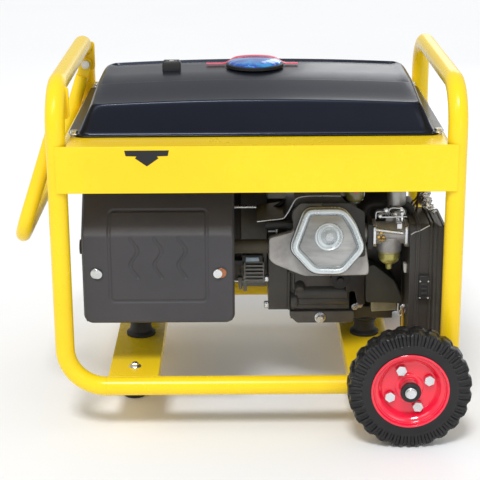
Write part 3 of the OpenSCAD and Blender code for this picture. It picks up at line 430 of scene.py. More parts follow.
for side, end in ((-1, "front"), (1, "rear")):
    tyre_lo, tyre_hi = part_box("tyre_" + end)
    inner_y, outer_y = sorted((abs(tyre_lo.y), abs(tyre_hi.y)))
    mid_y = (inner_y + outer_y) / 2

    def tread(turn, radius, width):
        """Shoulder ribs between r 80 and 100 mm and, beyond r 98 mm, tread blocks whose two halves are
        offset by half a pitch."""
        shoulder = np.clip((radius - 0.0795) / 0.002, 0, 1) * np.clip((0.1005 - radius) / 0.001, 0, 1)
        crown = np.clip((radius - 0.0975) / 0.0015, 0, 1)
        lean = np.where(width > mid_y, 0.0, math.pi / ribs)
        seam = np.clip(1 - np.abs(width - mid_y) / 0.0016, 0, 1) * crown
        cut = wave(turn + lean, ribs) * (shoulder * rib_depth * 0.55)
        block = np.maximum(wave(turn + lean, ribs / 2, 0.62), seam) * crown * block_depth
        band = np.clip(1 - np.abs(radius - 0.0785) / 0.0009, 0, 1) * 0.0007 * (width > mid_y)
        outwards = np.sign(width - mid_y)
        return np.maximum(block, cut), outwards * (wave(turn + lean, ribs) * shoulder * rib_depth + band)

    section = tyre_section(inner_y, outer_y)
    piece(
        "tyre_skin_" + end, [loft(around_wheel(section, side, tread, ribs * 12), closed=True)], tyre_rubber,
        "wheel_" + end, ["tyre_" + end], sharp=50)

    # The red disc: a rolled flange, a steep inner wall, a shallow step and a flat web with a raised boss.
    disc_in, flange_y = outer_y - 0.023, outer_y - 0.0015
    disc = np.array([
        (0.0142, disc_in + 0.0035), (0.019, disc_in + 0.0035), (0.0225, disc_in + 0.0028),
        (0.0245, disc_in + 0.0008), (0.027, disc_in + 0.0002), (0.0435, disc_in + 0.0002),
        (0.0455, disc_in + 0.0012), (0.048, disc_in + 0.0052), (0.0505, disc_in + 0.0098),
        (0.0535, disc_in + 0.0125), (0.0565, disc_in + 0.0135), (0.0585, disc_in + 0.0155),
        (0.0596, flange_y - 0.003), (0.0606, flange_y - 0.0006), (0.0625, flange_y),
        (0.0642, flange_y - 0.0007), (0.0640, flange_y - 0.0022), (0.0615, flange_y - 0.0024),
        (0.0600, flange_y - 0.0055), (0.0592, disc_in + 0.014), (0.0575, disc_in + 0.011),
        (0.0530, disc_in + 0.0095), (0.0512, disc_in + 0.0065), (0.0487, disc_in + 0.0015),
        (0.0465, disc_in - 0.0022), (0.0440, disc_in - 0.0036), (0.0142, disc_in - 0.0036)])
    piece(
        "rim_disc_" + end,
        [
            loft(around_wheel(evenly(disc, 130), side), closed=True),
            loft(
                around_wheel(
                    np.array([
                        (0.0575, inner_y + 0.004), (0.0604, inner_y + 0.004), (0.0604, outer_y - 0.007),
                        (0.0575, outer_y - 0.007)]),
                    side),
                closed=True),
            loft(around_wheel(evenly(disc * (1, -1) + (0, inner_y + outer_y), 130), side), closed=True)],
        rim_paint, "wheel_" + end, ["rim_" + end], sharp=40)

# Black hub cap washers and the bright split rings on the axle ends, pushed onto the stub axles.
cap_black = finish("cap_black", (0.010, 0.010, 0.011), rough=0.28, spread=0.1, relief=0.00002, wear=0.4)


def lathe(profile, centre, axis, steps=48):
    """Rings of a turned part: each (height along the axis, radius) of the profile becomes a circle."""
    centre = np.asarray(centre, float)
    ahead = {"x": (1, 0, 0), "y": (0, 1, 0), "z": (0, 0, 1)}[axis]
    return np.array([
        circle(centre + np.multiply(ahead, height), radius, axis, steps) for height, radius in profile])


def turned(profile, centre, axis, steps=48):
    """The shell of a turned part."""
    return loft(lathe(profile, centre, axis, steps))


def bolt(place, axis, across, height, washer=0.0, sense=1):
    """A hexagon head with a chamfered crown, on a washer when that has a radius."""
    flats = across / 2 / math.cos(math.pi / 6)
    base = 0.0012 if washer else 0.0
    shells = [
        turned(
            [
                (sense * base, flats), (sense * (base + height * 0.8), flats),
                (sense * (base + height), flats * 0.82)],
            place, axis, 6),
        turned(
            [(sense * (base + height), flats * 0.8), (sense * (base + height + 0.0003), flats * 0.74)],
            place, axis, 24)]
    if washer:
        shells.append(
            turned(
                [(0, washer), (sense * 0.0009, washer), (sense * 0.0012, washer * 0.94)], place, axis, 32))
    return shells


for side, end in ((-1, "front"), (1, "rear")):
    tip_y = max(abs(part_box("axle_nuts")[0].y), abs(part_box("axle_nuts")[1].y))
    cap_at = (wheel_x, side * (tip_y - 0.0105), wheel_z)
    piece(
        "hub_washer_" + end,
        [
            turned(
                [
                    (side * h, r)
                    for h, r in (
                        (0, 0.0168), (0.0052, 0.0168), (0.0064, 0.0158), (0.0067, 0.0125), (0.0060, 0.0112),
                        (0.0060, 0.009))],
                cap_at, "y", 64)],
        cap_black, "frame", ["axle_nuts"] if end == "rear" else ())
    piece(
        "axle_ring_" + end,
        [
            wire(
                circle((wheel_x, side * (tip_y - 0.0035), wheel_z), 0.0085, "y", 64), 0.0012, 10,
                closed=True),
            turned(
                [
                    (side * h, r)
                    for h, r in ((0.004, 0.0078), (0.0080, 0.0078), (0.0092, 0.0066), (0.0094, 0.003))],
                cap_at, "y", 40)],
        bright_zinc, "frame")

dress(bright_zinc, "hub_front", "hub_rear", "axle_stubs", "handle_bolts")

# ---------------------------------------------------------------- fuel tank
# Two deep-drawn steel pressings seamed at a flange, enamelled black; the roof is arched along its length
# and has a sunk channel for the cap and gauge. Four bolts hold the flange to the frame's beams.
TANK_BLACK = (0.0045, 0.0055, 0.010)
tank_enamel = finish(
    "tank_enamel", TANK_BLACK, (0.007, 0.008, 0.013), (0.04, 0.04, 0.05), rough=0.30, spread=0.12,
    coat=0.10, cloud=3.0, grain=300, relief=0.00003, wear=0.15, shine=0.28)
# The enamel's reflections are tinted blue: a painted bluish sheen on the tank.
tank_enamel.node_tree.nodes["Principled BSDF"].inputs["Specular Tint"].default_value = (0.62, 0.72, 1.0, 1)
dress(tank_enamel, "tank_lower")


def rise(value, low, high):
    """Smooth step from 0 at low to 1 at high."""
    t = np.clip((value - low) / (high - low), 0, 1)
    return t * t * (3 - 2 * t)


tank_lo, tank_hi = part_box("tank_upper")
tank_mid = (tank_lo.x + tank_hi.x) / 2
half_l, half_w = (tank_hi.x - tank_lo.x) / 2, (tank_hi.y - tank_lo.y) / 2
flange_z, roof_z = tank_lo.z, 0.582
tank_arch = 0.0095
channel_front, channel_back, channel_deep = -0.095, 0.085, 0.0048


def lines(breaks, counts):
    """Grid lines between the breaks: count equal steps in each stretch."""
    parts = [np.linspace(a, b, n, endpoint=False) for a, b, n in zip(breaks[:-1], breaks[1:], counts)]
    return np.concatenate(parts + [[breaks[-1]]])


def tank_skin():
    """Height over the plan of the tank. With d the distance in from the rounded edge: flat flange to
    d 9 mm, a steep wall, a rounded ridge at about d 24 mm, then the roof's slow rise, less the channel."""
    x = tank_mid + lines([-half_l, -half_l + 0.05, half_l - 0.05, half_l], [34, 70, 34])
    y = lines(
        [
            -half_w, -half_w + 0.045, channel_front - 0.004, channel_front + 0.004, channel_back - 0.004,
            channel_back + 0.004, half_w - 0.045, half_w],
        [38, 14, 8, 40, 8, 14, 38])
    x, y = np.meshgrid(x, y, indexing="ij")
    corner = 0.030
    out = np.stack([np.abs(x - tank_mid) - (half_l - corner), np.abs(y) - (half_w - corner)], -1)
    beyond = np.maximum(out, 0)
    reach = np.linalg.norm(beyond, axis=-1)
    over = np.maximum(reach / corner, 1)
    x = np.where(
        out[..., 0] > 0, tank_mid + np.sign(x - tank_mid) * (half_l - corner + beyond[..., 0] / over), x)
    y = np.where(out[..., 1] > 0, np.sign(y) * (half_w - corner + beyond[..., 1] / over), y)
    side_d = half_l - np.abs(x - tank_mid)
    face_d = half_w - np.abs(y)
    lean_x = side_d / 1.9
    near = np.minimum(face_d, lean_x)
    blend = 0.010
    gap = np.clip(0.5 + 0.5 * (lean_x - face_d) / blend, 0, 1)
    near = lean_x + (face_d - lean_x) * gap - blend * gap * (1 - gap)
    arch = tank_arch * (1 - ((x - tank_mid) / half_l) ** 2) - tank_arch
    step, ridge = 0.0035, 0.0535
    wall = flange_z + step + ridge * rise(near, 0.0085, 0.0235) ** 0.8
    climb = roof_z - flange_z - step - ridge
    roof = climb * rise(face_d, 0.018, 0.175) ** 0.75 * rise(lean_x, 0.008, 0.030)
    lifted = rise(near, 0.009, 0.026)
    channel = rise(y, channel_front - 0.0014, channel_front + 0.0014)
    channel = channel * rise(-y, -channel_back - 0.0014, -channel_back + 0.0014)
    channel = channel * rise(side_d, 0.052, 0.060)
    z = wall + roof + arch * lifted - channel * channel_deep
    return np.stack([x, y, z], -1)


def grid(points):
    """Corners and faces of an open sheet through points[m, n, 3]."""
    ids = np.arange(points.shape[0] * points.shape[1]).reshape(points.shape[:2])
    faces = np.stack([ids[:-1, :-1], ids[1:, :-1], ids[1:, 1:], ids[:-1, 1:]], -1).reshape(-1, 4).tolist()
    return points.reshape(-1, 3), faces


piece(
    "tank_top", [grid(tank_skin())], tank_enamel, "frame", ["tank_upper"], sharp=50,
    solid=0.002)

# ---------------------------------------------------------------- filler cap, its tag and the gauge
# A pressed cap with a faceted blue anodised crown on a black knurled skirt, a thin red tag that lies over
# it, and the black float gauge with a small window.
cap_lo, cap_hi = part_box("fuel_cap")
cap_centre = ((cap_lo.x + cap_hi.x) / 2, (cap_lo.y + cap_hi.y) / 2, cap_lo.z)
cap_r = (cap_hi.x - cap_lo.x) / 2
cap_high = cap_hi.z - cap_lo.z
anodised = finish(
    "anodised_blue", (0.01, 0.09, 0.50), (0.03, 0.42, 0.90), (0.35, 0.7, 1.0), rough=0.14, spread=0.1,
    metal=0.45, coat=0.6, cloud=45, grain=300, relief=0.00002)
tag_red = finish(
    "tag_film", (0.85, 0.035, 0.11), (0.66, 0.015, 0.06), rough=0.38, cloud=30, grain=200, relief=0.00003)
moulded = finish(
    "moulded_black", (0.012, 0.012, 0.013), (0.02, 0.02, 0.021), (0.06, 0.06, 0.06), rough=0.46,
    spread=0.15, cloud=22, grain=1100, relief=0.00005)


def fluted(rings, count, depth):
    """Turned rings whose radius dips count times round, more at the foot than at the crown."""
    steps = rings.shape[1]
    turn = np.arange(steps) * 2 * math.pi / steps
    middle = rings.mean(axis=1, keepdims=True)
    fade = np.linspace(1, 0, len(rings))[:, None, None]
    dip = (depth * (0.5 - 0.5 * np.cos(turn * count)))[None, :, None]
    return middle + (rings - middle) * (1 - dip * fade)


crown_profile = [
    (0.44, 0.955), (0.58, 0.93), (0.72, 0.86), (0.84, 0.72), (0.93, 0.52), (0.985, 0.30), (1.0, 0.08)]
crown = lathe([(h * cap_high, r * cap_r) for h, r in crown_profile], cap_centre, "z", 96)
piece("cap_crown", [loft(fluted(crown, 16, 0.05))], anodised, "cap", ["fuel_cap"], sharp=14)
skirt = lathe(
    [
        (h * cap_high, r * cap_r)
        for h, r in ((0.01, 0.97), (0.05, 1.0), (0.40, 1.0), (0.47, 0.965), (0.47, 0.9))],
    cap_centre, "z", 240)
piece("cap_skirt", [loft(fluted(skirt, 60, 0.014))], moulded, "cap")

tag_lo, tag_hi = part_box("cap_tag")
tag_width, tag_y = 0.013, tag_hi.y - 0.014
tag_x = np.linspace(tag_lo.x + 0.015, tag_hi.x, 90)
tag_from_middle = np.hypot(tag_x - cap_centre[0], tag_y - cap_centre[1]) / cap_r
crown_h, crown_r = np.array(crown_profile[::-1] + [(0.0, 1.12)]).T
drape = np.interp(tag_from_middle, crown_r, crown_h) * cap_high
soft = np.exp(-np.linspace(-2, 2, 15) ** 2)
tag_z = np.convolve(np.pad(drape, 7, "edge"), soft / soft.sum(), "valid") + cap_centre[2] + 0.0014
tag_path = np.stack([tag_x, np.full(len(tag_x), tag_y), tag_z], -1)
tag_edges = ((-0.5, -0.0004), (0.5, -0.0004), (0.5, 0.0004), (-0.5, 0.0004))
tag_rings = np.stack([tag_path + (0, across * tag_width, lift) for across, lift in tag_edges], axis=1)
piece("tag_strip", [loft(tag_rings)], tag_red, "strainer", ["cap_tag"])

gauge_lo, gauge_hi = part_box("fuel_gauge")
gauge_mid = np.array([(gauge_lo.x + gauge_hi.x) / 2, (gauge_lo.y + gauge_hi.y) / 2])
gauge_outline = box_outline((gauge_lo.x, gauge_lo.y), (gauge_hi.x, gauge_hi.y), 0.004)
gauge_glass = finish("gauge_glass", (0.03, 0.03, 0.03), rough=0.08, spread=0.05, coat=1.0, relief=0.000005)
gauge_marks = finish("gauge_marks", (0.8, 0.78, 0.7), rough=0.4, relief=0.00001)
piece(
    "gauge_body",
    [
        loft(
            pressed(
                gauge_outline,
                [
                    (gauge_lo.z - 0.004, 0), (gauge_hi.z - 0.005, 0.0), (gauge_hi.z - 0.0012, 0.0014),
                    (gauge_hi.z, 0.0030), (gauge_hi.z, 0.0052), (gauge_hi.z - 0.0012, 0.0056)],
                "z"))],
    moulded, "frame", ["fuel_gauge"])
piece(
    "gauge_window",
    [slab(inset(gauge_outline, 0.0057), gauge_hi.z - 0.0014, gauge_hi.z - 0.0008, "z", 0.0002)],
    gauge_glass, "frame")
piece(
    "gauge_dashes",
    [
        slab(
            box_outline((gauge_mid[0] - 0.004, y - 0.0012), (gauge_mid[0] + 0.004, y + 0.0012), 0.0006),
            gauge_hi.z - 0.0009, gauge_hi.z - 0.0006, "z", 0.0001)
        for y in gauge_mid[1] + np.array([-0.0042, 0.0, 0.0042])],
    gauge_marks, "frame")

# ---------------------------------------------------------------- heat shield and silencer
# A sheet bent over the top of the silencer and painted in matte high-temperature grey. A channel is rolled
# round its face and three wavy heat lines are stamped in it. Two screws hold it, with one zinc washer and
# one of copper.
SHIELD_GREY = (0.038, 0.036, 0.040)
shield_paint = finish(
    "shield_paint", SHIELD_GREY, (0.048, 0.045, 0.049), (0.13, 0.13, 0.13), rough=0.52, spread=0.12,
    cloud=7, grain=1300, relief=0.00005, wear=0.2)
silencer_paint = finish(
    "silencer_paint", (0.050, 0.047, 0.034), (0.066, 0.055, 0.036), (0.25, 0.18, 0.13), rough=0.6,
    spread=0.2, metal=0.3, cloud=14, grain=900, relief=0.00008)
shield_lo, shield_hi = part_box("muffler_shield")
dress(silencer_paint, "muffler")


def shield_sheet():
    """Grid over (x, run up the sheet): the run goes up the face, round a bend and up the lean. Near the
    edge the sheet turns back into a flange; the stampings sink along the sheet's own normal."""
    lean = np.array([0.052, 0.072])
    face_high = shield_hi.z - lean[1]
    slope = math.atan2(lean[0], lean[1])
    radius = 0.016
    face_run = face_high - shield_lo.z - radius * math.tan(slope / 2)
    arc_run = radius * slope
    total = face_run + arc_run + np.hypot(*lean) - radius * math.tan(slope / 2)
    width = shield_hi.x - shield_lo.x
    x, run = np.meshgrid(
        lines([0, 0.012, width - 0.012, width], [14, 250, 14]), lines([0, 0.012, total], [14, 190]),
        indexing="ij")
    corner = 0.016
    cx, cy = np.maximum(corner - np.minimum(x, width - x), 0), np.maximum(corner - run, 0)
    reach = np.maximum(np.hypot(cx, cy) / corner, 1)
    x = np.where(cx > 0, np.where(x < width / 2, corner - cx / reach, width - corner + cx / reach), x)
    run = np.where(cy > 0, corner - cy / reach, run)
    cx, cy = np.maximum(corner - np.minimum(x, width - x), 0), np.maximum(corner - run, 0)
    edge = np.minimum(np.minimum(x, width - x), run)
    edge = np.where((cx > 0) & (cy > 0), corner - np.hypot(cx, cy), edge)
    turn = np.clip((run - face_run) / arc_run, 0, 1) * slope
    ahead = np.maximum(run - face_run - arc_run, 0)
    z = shield_lo.z + np.minimum(run, face_run) + radius * np.sin(turn) + ahead * math.cos(slope)
    y = shield_lo.y + radius * (1 - np.cos(turn)) + ahead * math.sin(slope)
    back = 0.005 * (1 - rise(edge, 0.0, 0.0042))
    frame_low, frame_high = 0.040, total - 0.042
    inner_x = np.abs(x - width / 2) - (width / 2 - 0.046)
    inner_z = np.abs(run - (frame_low + frame_high) / 2) - (frame_high - frame_low) / 2
    outside = np.hypot(np.maximum(inner_x + 0.008, 0), np.maximum(inner_z + 0.008, 0)) - 0.008
    track = np.abs(np.where(np.maximum(inner_x, inner_z) > -0.008, outside, np.maximum(inner_x, inner_z)))
    sunk = 0.0016 * (1 - rise(track, 0.0012, 0.0036))
    middle = (frame_low + frame_high) / 2 - 0.004
    for shift in (-0.040, 0.0, 0.040):
        wavy = np.abs(x - width / 2 - shift - 0.006 * np.sin((run - middle) * 2 * math.pi / 0.050))
        inside = 1 - rise(np.abs(run - middle), 0.034, 0.038)
        sunk = sunk + 0.0018 * (1 - rise(wavy, 0.0016, 0.0042)) * inside
    for screw_x in (0.022, width - 0.022):
        pad = np.hypot(x - screw_x, run - (0.272 - shield_lo.z))
        sunk = sunk + 0.0010 * (1 - rise(pad, 0.010, 0.0125))
    y = y + (back + sunk) * np.cos(turn)
    z = z - (back + sunk) * np.sin(turn)
    return np.stack([shield_lo.x + x, y, z], -1)


piece(
    "shield_sheet", [grid(shield_sheet())], shield_paint, "frame", ["muffler_shield"],
    sharp=60, solid=0.0018)
copper_washer = finish(
    "copper_washer", (0.42, 0.17, 0.08), (0.3, 0.13, 0.07), rough=0.35, metal=0.8, cloud=60, relief=0.00002)
screw_places = [(x, shield_lo.y + 0.0012, 0.272) for x in (shield_lo.x + 0.022, shield_hi.x - 0.022)]
washer = [(0, 0.0085), (-0.0010, 0.0085), (-0.0014, 0.0078), (-0.0014, 0.004)]
piece("shield_washer_left", [turned(washer, screw_places[0], "y", 40)], bright_zinc, "frame")
piece("shield_washer_right", [turned(washer, screw_places[1], "y", 40)], copper_washer, "frame")

# ---------------------------------------------------------------- rubber
# Feet under the support legs and four bobbins between the cross members and the engine: black rubber
# bonded to steel plates, each a waisted spool.
rubber_black = finish(
    "rubber_black", (0.013, 0.013, 0.013), (0.024, 0.023, 0.022), (0.06, 0.06, 0.058), rough=0.62,
    spread=0.15, cloud=30, grain=800, relief=0.00008)
dress(rubber_black, "rubber_feet", "fuel_hose", "breather_hose", "spark_plug")
mount_lo, mount_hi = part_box("engine_mounts")
mount_r = 0.024
spool = [
    (0.0, 0.026), (0.0045, 0.026), (0.0058, 0.0245), (0.0085, 0.0205), (0.018, 0.0185), (0.0275, 0.0205),
    (0.0302, 0.0245), (0.0315, 0.026), (0.036, 0.026)]
spools = [
    turned(spool, (x, y, mount_lo.z), "z", 40) for x in (mount_lo.x + mount_r, mount_hi.x - mount_r)
    for y in (mount_lo.y + mount_r, mount_hi.y - mount_r)]
piece("mount_spools", spools, rubber_black, "frame", ["engine_mounts"], sharp=40)

# A bolt through each cross member, near each end, holds the pads and legs below it.
member_lo, member_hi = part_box("cross_members")
member_bolts = []
for x in (member_lo.x + 0.042, member_hi.x - 0.042):
    for y in (member_lo.y + 0.046, member_hi.y - 0.046):
        member_bolts += bolt((x, y, member_hi.z), "z", 0.011, 0.006, 0.0105, 1)
piece("member_bolts", member_bolts, bright_zinc, "frame")

# ---------------------------------------------------------------- engine castings
# Die-cast crankcase, side cover and cylinder head. The case is painted dark olive grey, the head is bare
# aluminium with a sandy skin; machined lips stand a little proud at the joint faces.
crank_height = 0.268
case_reach = 0.051
engine = np.array([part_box("crankcase")[0].x + case_reach, 0.020, crank_height])
tilt = math.radians(14)
case_paint = finish(
    "case_paint", (0.072, 0.068, 0.062), (0.052, 0.049, 0.046), (0.22, 0.22, 0.21), rough=0.46, spread=0.16,
    metal=0.25, cloud=18, grain=520, relief=0.00022, edge=0.0025, wear=0.35)
bare_casting = finish(
    "bare_casting", (0.42, 0.41, 0.40), (0.30, 0.29, 0.28), (0.7, 0.7, 0.7), rough=0.42, spread=0.2,
    metal=0.55, cloud=30, grain=600, relief=0.00020, edge=0.002, wear=0.5)
dress(case_paint, "crankcase", "side_cover")
dress(bare_casting, "carburetor")


def on_cylinder(points):
    """Local (u, v, w) with w out along the leaning cylinder, moved to the engine's place:
    x = u, y = v sin t - w cos t, z = v cos t + w sin t."""
    u, v, w = np.moveaxis(np.asarray(points, float), -1, 0)
    return engine + np.stack(
        [u, v * math.sin(tilt) - w * math.cos(tilt), v * math.cos(tilt) + w * math.sin(tilt)], -1)


def moved(shell, place):
    """The shell with its corners put through a placing function."""
    return place(shell[0]), shell[1]


def at_engine(points):
    """Points measured from the crank centre, moved to the engine's place."""
    return engine + np.asarray(points, float)


mm = 0.001
head_casting = finish(
    "head_casting", (0.40, 0.385, 0.37), (0.28, 0.27, 0.26), (0.7, 0.7, 0.69), rough=0.44, spread=0.2,
    metal=0.45, cloud=30, grain=600, relief=0.00020, edge=0.002, wear=0.6)
dress(head_casting, "cylinder_head")
head_edge = outline_mm(
    [
        [-91, -34], [-82, -42], [-32, -62], [76, -61], [76, -46], [68, 10], [68, 44], [44, 58], [-38, 58],
        [-50, 46], [-50, 12], [-91, 1]],
    0.006, 6)
piece(
    "head_lips",
    [
        moved(slab(inset(head_edge, -0.0016), low, low + 0.004, "z", 0.0012), on_cylinder)
        for low in (0.1535, 0.1715)]
    + [moved(slab(inset(head_edge, -0.001), 0.1905, 0.1979, "z", 0.0018), on_cylinder)], head_casting,
    "frame")

# Cooling fins round the barrel, just behind the head, and on the side of the case below it.
barrel_edge = outline_mm([[-58, -64], [58, -64], [62, 60], [-58, 60]], 0.012, 5)
piece(
    "barrel_fins",
    [
        moved(slab(barrel_edge, w, w + 0.0022, "z", 0.0008), on_cylinder)
        for w in np.arange(0.098, 0.150, 0.009)],
    case_paint, "frame")

# Cast-on webs and bosses of the crankcase: the long rounded bar with its end collars, a slanted oil boss,
# the joint flange of the side cover and the thick foot flange with its bolt pads.
case_front = engine[1] - 0.112
bar_z, bar_y = engine[2] - 0.0905, case_front - 0.001
bar = [
    turned(
        [(0, 0.0065), (0.002, 0.0085), (0.088, 0.0085), (0.0905, 0.0065)],
        (engine[0] - 0.040, bar_y, bar_z), "x", 32),
    turned(
        [(0, 0.0125), (0.0015, 0.0138), (0.0105, 0.0138), (0.012, 0.0125)],
        (engine[0] - 0.052, bar_y, bar_z), "x", 32)]
stations = np.linspace(0, 1, 9)[:, None]
boss_path = np.array([
    engine[0] - 0.036, case_front + 0.010, engine[2] - 0.060]) + stations * (0, -0.019, -0.010)
bar.append(wire(boss_path, np.array([0.0098] * 6 + [0.0096, 0.0088, 0.0070]), 28, (1, 0, 0)))
flange_edge = rounded(
    [
        (case_front - 0.003, engine[2] - 0.110), (case_front - 0.003, engine[2] - 0.036),
        (case_front + 0.012, engine[2] - 0.026), (case_front + 0.04, engine[2] - 0.024),
        (case_front + 0.04, engine[2] - 0.110)],
    0.006)
bar += [slab(flange_edge, engine[0] + x, engine[0] + x + 0.005, "x", 0.0014) for x in (-0.0575, -0.0495)]
piece("case_webs", bar, case_paint, "frame", sharp=42)

foot_paint = finish(
    "foot_paint", (0.115, 0.108, 0.10), (0.085, 0.08, 0.075), (0.3, 0.3, 0.28), rough=0.45, metal=0.3,
    cloud=22, grain=500, relief=0.0002, edge=0.002, wear=0.4)
foot_edge = rounded(
    at_engine([
        (-0.0535, 0, -0.1115), (-0.0535, 0, -0.121), (-0.0405, 0, -0.1338), (0.0565, 0, -0.1338),
        (0.0605, 0, -0.130), (0.0605, 0, -0.1115)])[:, ::2],
    0.003)
piece(
    "foot_flange", [slab(foot_edge, case_front - 0.0022, case_front + 0.012, "y", 0.0016)], foot_paint,
    "frame")

case_bolts = []
for y, z in ((-0.104, -0.102), (-0.104, -0.052), (0.080, -0.102)):
    case_bolts += bolt(at_engine((-0.0912, y, z)), "x", 0.011, 0.0065, 0.0075, -1)
case_bolts += bolt(
    (engine[0] + 0.0005, case_front - 0.0025, engine[2] - 0.1235), "y", 0.0135, 0.0085, 0.0098, -1)
for x in (0.062, 0.070):
    case_bolts += bolt(
        (engine[0] + x, case_front - 0.002, engine[2] - 0.1035 + (x - 0.062) * 0.5), "y", 0.0085, 0.005,
        0.0058, -1)
piece("case_bolts", case_bolts, bright_zinc, "frame")
dress(bright_zinc, "fasteners")

# The stud and nut on their grey pillar, which tie the cowl to the head.
stud_at = np.array([engine[0] - 0.0775, engine[1] - 0.160, engine[2] + 0.012])
piece(
    "stud_pillar",
    [turned([(0.0, 0.0092), (0.020, 0.0088), (0.0245, 0.0075), (0.0252, 0.0055)], stud_at, "z", 32)],
    bare_casting, "frame")
piece(
    "stud_and_nut",
    [
        turned([(0.025, 0.0022), (0.046, 0.0022), (0.047, 0.0014)], stud_at, "z", 20),
        wire(stud_at + (0, 0, 0.040) + stations * (-0.003, 0, 0) * 5, 0.0018, 12)]
    + bolt(stud_at + (0, 0, 0.0255), "z", 0.0095, 0.006, 0.0068), bright_zinc, "frame")

# ---------------------------------------------------------------- valve cover
# Pressed and polished aluminium lid on a black gasket: a rolled rim, a sunk panel and a round boss of
# concentric rings with an acorn nut in its middle.
polished = finish(
    "polished_aluminium", (0.66, 0.71, 0.73), (0.56, 0.61, 0.63), (0.8, 0.84, 0.85), rough=0.26,
    spread=0.12, metal=0.55, cloud=26, grain=900, relief=0.00001, edge=0.0003)
brushed = finish(
    "brushed_aluminium", (0.42, 0.42, 0.41), (0.27, 0.27, 0.265), (0.7, 0.7, 0.7), rough=0.34, spread=0.16,
    metal=0.75, cloud=14, grain=700, relief=0.00002, edge=0.0003, stretch=(1, 1, 5))
cover_edge = outline_mm(
    [[-38, 55], [-64, -13], [-26, -54], [24, -55], [61, -13], [45, 30], [26, 55]], 0.013, 10)
cover_mid = np.array([0.008, -0.003])
lid_edge = cover_mid + cover_edge
boss_at = (cover_mid[0], cover_mid[1] + 0.008, 0)
wall_and_rim = [
    (0.1992, -0.0020), (0.2010, -0.0020), (0.2018, 0.0), (0.2285, 0.0002), (0.2300, 0.0010),
    (0.2306, 0.0022), (0.2306, 0.0075), (0.2298, 0.0086), (0.2275, 0.0092), (0.2190, 0.0094)]
sunk_panel = [(0.2188, 0.0092), (0.2188, 0.0112), (0.2235, 0.0120), (0.2242, 0.0132)]
gasket = [(0.1979, -0.0034), (0.1993, -0.0034)]


def lid_part(levels):
    """The lid's outline drawn in by each level's inset, on the leaning cylinder."""
    return moved(loft(pressed(lid_edge, levels, "z")), on_cylinder)


piece(
    "valve_lid", [lid_part(wall_and_rim)], polished, "frame", ["valve_cover"], sharp=50)
piece("lid_panel", [lid_part(sunk_panel)], brushed, "frame", sharp=50)
piece("lid_gasket", [lid_part(gasket)], rubber_black, "frame")
boss = [
    (0.2238, 0.0246), (0.2262, 0.0238), (0.2276, 0.0226), (0.2278, 0.0212), (0.2268, 0.0200),
    (0.2254, 0.0186), (0.2252, 0.0164), (0.2262, 0.0150), (0.2262, 0.0138), (0.2250, 0.0126),
    (0.2250, 0.0070), (0.2252, 0.002)]
piece(
    "lid_boss", [moved(turned(boss, boss_at, "z", 64), on_cylinder)], polished, "frame",
    sharp=70)
acorn = [(0.2246, 0.0070), (0.2300, 0.0070), (0.2330, 0.0060), (0.2352, 0.0036), (0.2358, 0.0010)]
piece(
    "lid_acorn", [moved(turned(acorn, boss_at, "z", 64), on_cylinder)], bright_zinc, "frame",
    sharp=60)

# ---------------------------------------------------------------- cooling cowl
# Black pressed-steel cowl over blower and barrel; its sheared front edge shows bright metal. The recoil
# starter sits on its end, with a moulded grip.
cowl_black = finish(
    "cowl_black", (0.022, 0.021, 0.018), (0.035, 0.033, 0.026), (0.16, 0.15, 0.13), rough=0.4, spread=0.16,
    coat=0.15, cloud=12, grain=500, relief=0.00006, wear=0.3)
dress(cowl_black, "cooling_shroud", "recoil_cover")
dress(moulded, "starter_grip", "oil_fill_cap")
cowl_line = np.array([
    (-112, 73), (-90, 75.5), (-72, 77.5), (-65, 80), (-57, 92), (-50, 106), (-44, 113.5), (-34, 116.6),
    (-22, 117.5), (0, 117.6), (30, 117.2)]) * mm


def smooth_path(points, count):
    """Points along a Catmull-Rom curve through the given points, evenly spread in its parameter."""
    points = np.asarray(points, float)
    padded = np.vstack([2 * points[0] - points[1], points, 2 * points[-1] - points[-2]])
    at = np.linspace(0, len(points) - 1 - 1e-9, count)
    k = at.astype(int)
    t = (at - k)[:, None]
    a, b, c, d = padded[k], padded[k + 1], padded[k + 2], padded[k + 3]
    return 0.5 * (2 * b + (c - a) * t + (2 * a - 5 * b + 4 * c - d) * t**2 + (3 * b - a - 3 * c + d) * t**3)


def routed(points, count, radius, steps):
    """The shell of a wire on a smooth route, whose points are measured from the crank centre."""
    return wire(at_engine(smooth_path(points, count)), radius, steps)


edge_path = smooth_path(
    np.column_stack([cowl_line[:, 0], np.full(len(cowl_line), -0.1725), cowl_line[:, 1]]), 80)

# Two sheets lie on the head's face behind the cover: the painted cowl's front and a black air baffle.
front_sheet = outline_mm([(-51, 13), (-51, 47), (-39, 60), (-2, 60), (-2, 13)], 0.004)
baffle = outline_mm([(-2, 13), (-2, 60), (45, 60), (70, 45), (71, -30), (48, -34), (20, 13)], 0.004)
piece(
    "front_sheet", [moved(slab(front_sheet, 0.1980, 0.1988, "z", 0.0003), on_cylinder)], foot_paint,
    "frame")
piece(
    "air_baffle", [moved(slab(baffle, 0.1980, 0.1990, "z", 0.0003), on_cylinder)], cowl_black, "frame")
piece("cowl_edge", [wire(at_engine(edge_path), 0.0011, 8)], bright_zinc, "frame")
cheek = outline_mm([(-48, 40), (-48, 104), (-36, 113), (30, 113), (44, 96), (50, 40)], 0.006)
piece(
    "cowl_cheek", [moved(slab(cheek, -0.152, -0.149, "y", 0.0008), at_engine)], foot_paint, "frame")
dark_iron = finish(
    "dark_iron", (0.09, 0.09, 0.09), (0.05, 0.045, 0.04), (0.3, 0.3, 0.3), rough=0.45, metal=0.7,
    spread=0.2, cloud=30, grain=500, relief=0.0001)
ground_steel = finish(
    "ground_steel", (0.55, 0.55, 0.56), (0.42, 0.41, 0.40), rough=0.22, metal=1.0, spread=0.15, cloud=50,
    grain=900, relief=0.00001, stretch=(1, 6, 6))
dress(ground_steel, "crankshaft")
dress(dark_iron, "flywheel", "rotor")

